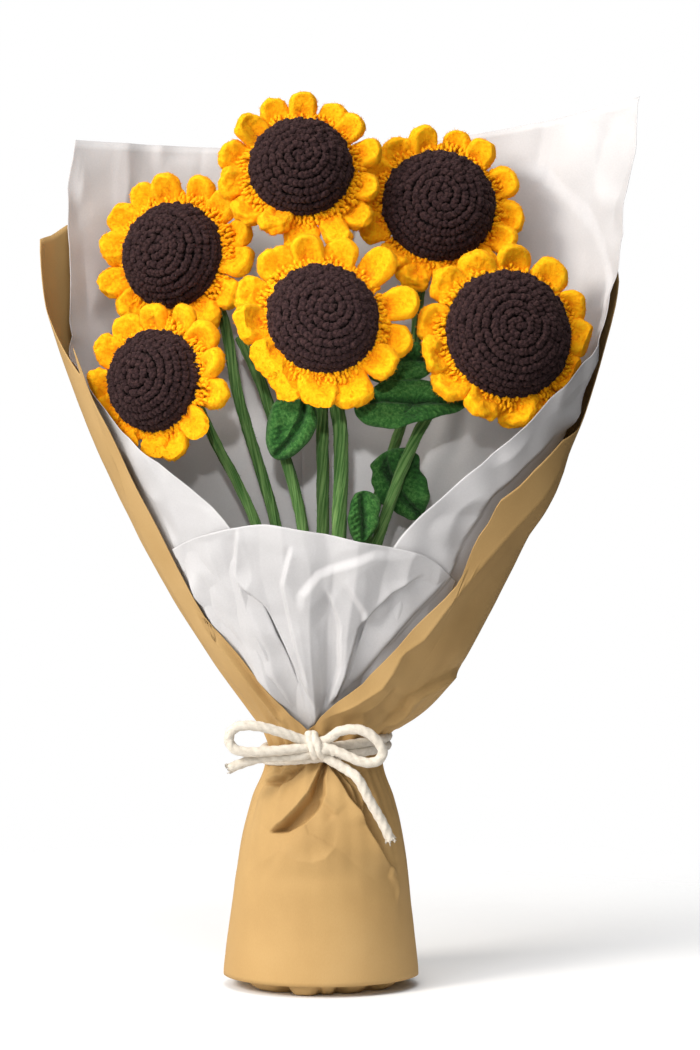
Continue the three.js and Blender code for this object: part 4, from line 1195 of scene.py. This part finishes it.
def makePetals(name, flower):
    rng = np.random.default_rng(flower["seed"])
    middle, axes = headOf(flower)
    tip = heads["radius"] * flower["scale"]
    discRadius = tip * heads["discShare"] * flower["disc"]
    rows, columns = petalLook["rows"], petalLook["columns"]
    points, faces, marks = [], [], []
    for k in range(flower["petals"]):
        base = petalLook["base"] * discRadius
        a = 2 * math.pi * (k + 0.5) / flower["petals"] + math.radians(flower["roll"]) + rng.normal(0, 0.035)
        frill = 0.5 - 0.5 * math.sin(a + 0.7)  # the sides that face down and right are the more frilled
        ruffle = min(1.0, max(0.0, frill + rng.normal(0, 0.16)))
        length = (tip - base) * rng.uniform(0.97, 1.07)
        if "stretch" in flower:  # a petal pulled out to one side
            toward, extra = flower["stretch"]
            away = math.degrees(math.remainder(a - math.radians(toward), 2 * math.pi))
            length += extra * math.exp(-(away / petalLook["pull"]) ** 2)
        pitch = 2 * math.pi * tip * petalLook["ringShare"] / flower["petals"]
        width = pitch * petalLook["width"] * rng.uniform(0.9, 1.06) * (1 + 0.1 * ruffle)
        p, hollow = petalShape(rng, length, width, flower["seed"] * 31 + k, ruffle)
        twist, tilt = rng.normal(0, 0.2), rng.normal(0.05, 0.09)
        u, v, z = p[..., 0], p[..., 1], p[..., 2]
        u, z = u * math.cos(twist) - z * math.sin(twist), u * math.sin(twist) + z * math.cos(twist)
        v, z = v * math.cos(tilt) - z * math.sin(tilt), v * math.sin(tilt) + z * math.cos(tilt)
        z = z + petalLook["lift"] + petalLook["stagger"][k % 2]
        radial, tangent = np.array([math.cos(a), math.sin(a), 0]), np.array([math.sin(a), -math.cos(a), 0])
        local = (base + v)[..., None] * radial + u[..., None] * tangent + z[..., None] * np.array([0, 0, 1])
        start = len(points) * rows * columns
        points.append(local.reshape(-1, 3))
        marks.append(hollow.ravel())
        faces += bandFaces(rows, columns, start)
    # the hollow mark carries the petals' painted shade and painted highlight
    ring = makeMesh("ring", keepInside(middle + np.concatenate(points) @ axes, -heads["paperGap"]), faces,
                    {"hollow": np.concatenate(marks)})
    ring.data.materials.append(yarns["yellow"])
    a = np.linspace(0, 2 * math.pi, 400)
    parts = [ring]
    for reach, lift, seed, spacing in petalLook["collars"]:
        wave = discRadius + reach + 0.5 * np.sin(flower["petals"] * a + seed)
        circle = np.stack([wave * np.cos(a), wave * np.sin(a), np.full(400, lift)], -1)
        tilt = np.stack([0.5 * np.cos(a), 0.5 * np.sin(a), np.ones(400)], -1)
        parts.append(stitchesOn("collar", middle + circle @ axes, tilt @ axes,
                                petalLook["stitch"] | {"Spacing": spacing}, flower["seed"] + seed, "yellow"))
    petals = joinPieces("petals", parts)
    petals = addFuzz("petal_ring_" + name, petals, petalLook["fuzz"], flower["seed"], "yellow")
    finishPiece(petals, None, [f"petals_{name}"])


calyxLook = {
    "around": 72, "share": 0.9, "low": -8.2, "top": -0.8,
    "fuzz": {"Density": 300000.0, "Length": 0.001, "Thickness": 0.0001, "Tilt": 1.0},
}


def makeCalyx(name, flower):  # the green cup behind a head
    middle, axes = headOf(flower)
    radius = heads["radius"] * flower["scale"] * heads["discShare"] * calyxLook["share"]
    around, low, high = calyxLook["around"], calyxLook["low"], calyxLook["top"]
    a = np.linspace(0, 2 * math.pi, around, endpoint=False)
    profile = smoothPath([(3.2, 0, low), (6, 0, -7.4), (radius * 0.55, 0, -5.6), (radius * 0.85, 0, -3.2),
                          (radius, 0, high)], 1.0)
    rings = []
    for k, (r, _, h) in enumerate(profile):
        lump = 0.45 * np.abs(np.sin(a * round(r) + k)) + 0.35 * math.cos(k * 2.2)
        wide = r + lump * 0.4
        rings.append(np.stack([wide * np.cos(a), wide * np.sin(a), h - lump * 0.5], -1))
    rings = np.stack(rings)
    count = len(profile)
    points = np.concatenate([rings.reshape(-1, 3), [(0, 0, low), (0, 0, high)]])
    faces = [(count * around, q, p) for p, q in ringPairs(around)] + bandFaces(count, around)
    faces += [(p, q, count * around + 1) for p, q in ringPairs(around, (count - 1) * around)]
    calyx = makeMesh("calyx", middle + points @ axes, faces)
    calyx.data.materials.append(yarns["green"])
    calyx = addFuzz("green_cup_" + name, calyx, calyxLook["fuzz"], flower["seed"], "green")
    finishPiece(calyx, None, [f"calyx_{name}"])


for flowerName, flowerLook in heads["flowers"].items():
    makeDisc(flowerName, flowerLook)
    makePetals(flowerName, flowerLook)
    makeCalyx(flowerName, flowerLook)
print("flowers ready")

# stems

stems = {
    "diameter": 6.0, "rise": 235.0, "spread": 2.1, "footRise": 6.9, "bundleGap": 0.7, "cupDepth": 8.35,
    "yarn": {"Step": 0.0016, "Ribs": 7.0, "Rib Height": 0.00022, "Twist Pitch": 0.16, "Lumps": 0.0008,
             "Lump Size": 0.004},
    "fuzz": {"Density": 200000.0, "Length": 0.0011, "Thickness": 0.00009, "Tilt": 1.1},
    "seen": {"lower_left": 4.9, "upper_left": 5.4, "top": 6.0, "upper_right": 5.2, "centre": 7.2,
             "right": 5.6, "leaf_stalk": 5.5},
    "routes": {
        "lower_left": (210, [(0.2, -0.27, -0.14), (0.485, -0.74, -0.2), (0.66, -1.2, -0.12)]),
        "upper_left": (150, [(0.2, -0.22, 0.02), (0.485, -0.52, 0.02), (0.736, -0.91, 0.12),
                             (0.9, -1.08, 0.3)]),
        "top": (None, [(0.45, 0.02, 0.1), (0.75, 0.0, 0.3), (1.0, -0.1, 0.5)]),
        "upper_right": (90, [(0.2, 0.2, 0.3), (0.5, 0.6, 0.5), (0.75, 1.0, 0.7), (0.95, 1.1, 0.95)]),
        "centre": (330, [(0.2, 0.15, -0.16), (0.455, 0.2, -0.24), (0.7, 0.2, -0.24)]),
        "right": (30, [(0.2, 0.3, 0.05), (0.45, 0.65, 0.05), (0.7, 1.18, 0.12)]),
        "leaf_stalk": (270, [(0.2, -0.05, -0.2), (0.477, -0.21, -0.26), (0.62, -0.4, -0.18),
                             (0.78, -0.68, 0.0), (0.87, -0.9, 0.12)]),
    },
}


def stemPath(name):
    bundle, bends = stems["routes"][name]
    ringRadius = 0 if bundle is None else stems["diameter"] + stems["bundleGap"]
    a = math.radians(bundle or 0)
    x, y = ringRadius * math.cos(a), ringRadius * math.sin(a)
    radius = heads["radius"]
    points = [(x * stems["spread"], y * stems["spread"], stems["footRise"]),
              (x * 1.5, y * 1.5, roll["waistHeight"] * 0.6), (x, y, roll["waistHeight"])]
    points += [(across * radius, depth * radius, roll["waistHeight"] + share * stems["rise"])
               for share, across, depth in bends]
    if name in heads["flowers"]:
        middle, axes = headOf(heads["flowers"][name])
        points += [tuple(middle - axes[2] * (stems["cupDepth"] + reach))
                   for reach in (2.2 * stems["diameter"], 0)]
    return smoothPath(points, 1.5)


def makeStems():
    for name in stems["routes"]:
        stem = growWith(lineMesh("stem", stemPath(name)), twistedYarn,
                        stems["yarn"] | {"Radius": stems["seen"][name] / 2 * mm, "Material": yarns["stem"]})
        stem = addFuzz("stem_" + name, stem, stems["fuzz"], 7, "stem")
        finishPiece(stem, None, [f"stem_wrap_{name}", f"stem_wire_{name}"])


makeStems()
print("stems ready")

# leaves

leaves = {
    "rows": 40, "columns": 120,
    "fuzz": {"Density": 450000.0, "Length": 0.0013, "Thickness": 0.0001, "Tilt": 1.0},
    # place in head radii from the cluster's middle, angles in degrees
    "shapes": {
        "stalk": dict(place=(-0.36, -0.42, -1.66), turn=10, nod=0, length=34, width=25, pointing=-112,
                      curl=0.2, puff=8.5, ragged=0.02, seed=21),
        "behind_wide": dict(place=(1.02, -0.32, -1.42), turn=5, nod=28, length=60, width=26, pointing=8,
                            curl=0.14, puff=3.2, ragged=0.07, seed=22),
        "behind_small": dict(place=(0.92, 0.16, -1.02), turn=-10, nod=25, length=36, width=21, pointing=200,
                             curl=0.12, puff=2.8, ragged=0.07, seed=23),
        "low_right": dict(place=(0.92, 0.36, -2.34), turn=-12, nod=5, length=38, width=29, pointing=-64,
                          curl=0.25, puff=5.5, ragged=0.1, seed=24),
        "low_centre": dict(place=(0.46, -0.12, -2.68), turn=8, nod=8, length=27, width=17, pointing=-100,
                           curl=0.25, puff=5.0, ragged=0.05, seed=25),
    },
}


def makeLeaf(name, leaf):
    middle, axes = headFrame(leaf["place"], leaf["turn"], leaf["nod"])
    rows, columns = leaves["rows"], leaves["columns"]
    lat = np.linspace(-math.pi / 2, math.pi / 2, rows)[:, None] * np.ones((1, columns))
    lon = np.linspace(0, 2 * math.pi, columns, endpoint=False)[None, :] * np.ones((rows, 1))
    length, width = leaf["length"], leaf["width"]
    c, front = np.cos(lat) ** 0.5, np.sin(lat)
    v = np.sin(lon) * length / 2
    share = np.sin(lon) * 0.5 + 0.5
    half = width / 2 * np.sqrt(np.clip(1 - np.abs(np.sin(lon)) ** 2.2, 0, 1)) * (1.15 - 0.45 * share)
    u = np.sign(np.cos(lon)) * half
    ragged = 1 + leaf["ragged"] * (np.sin(5 * lon + leaf["seed"]) + 0.5 * np.sin(11 * lon))
    p = np.stack([v * c, u * c * ragged, leaf["puff"] * np.sin(lat)], -1)
    fold = 0.14 * width * np.sin(3.2 * p[..., 0] / length + leaf["seed"])
    groove = np.exp(-((p[..., 1] - fold) / 1.7) ** 2)
    groove = groove * np.clip(front, 0, 1)
    across = np.abs(p[..., 1]) / (width / 2)
    vein = np.abs(np.sin((p[..., 0] - 0.9 * np.abs(p[..., 1])) * math.pi / 3.4))
    relief = vein - 0.5 + 0.5 * grain(p * (1, 1, 0.2), 2.2, leaf["seed"])
    relief = relief + 0.35 * grain(p * (1, 1, 0.2), 1.2, leaf["seed"] + 3)
    relief = relief * (1 - 0.06 * leaf["puff"]) + 1.9 * grain(p * (0.5, 1, 0.2), 7, leaf["seed"] + 7)
    p[..., 2] += np.sign(front) * relief * np.abs(front) ** 0.5
    p[..., 2] -= (0.8 + 0.5 * leaf["puff"]) * groove
    # painted shade: the leaf's tone is darkened in the dips of its relief and along its middle groove
    paintedShade = 0.28 * np.clip(-relief, 0, 1) + 0.35 * groove
    p[..., 2] += leaf["curl"] * width * across ** 2 * 0.9
    p[..., 2] += 0.05 * p[..., 0] ** 2 / length * (1 if leaf["seed"] % 2 else -1)
    p[..., 2] += 2.2 * grain(p * (1, 1, 0), 12, leaf["seed"] + 1)
    a = math.radians(leaf["pointing"])
    turned = np.stack([p[..., 0] * math.cos(a) - p[..., 1] * math.sin(a),
                       p[..., 0] * math.sin(a) + p[..., 1] * math.cos(a), p[..., 2] + 1.5], -1)
    piece = makeMesh("leaf", middle + turned.reshape(-1, 3) @ axes, bandFaces(rows, columns),
                     {"hollow": paintedShade})
    piece.data.materials.append(yarns["green"])
    piece = addFuzz("crochet_leaf_" + name, piece, leaves["fuzz"], leaf["seed"], "green")
    finishPiece(piece, None, [f"leaf_{name}"])


for leafName, leafLook in leaves["shapes"].items():
    makeLeaf(leafName, leafLook)
print("leaves ready")
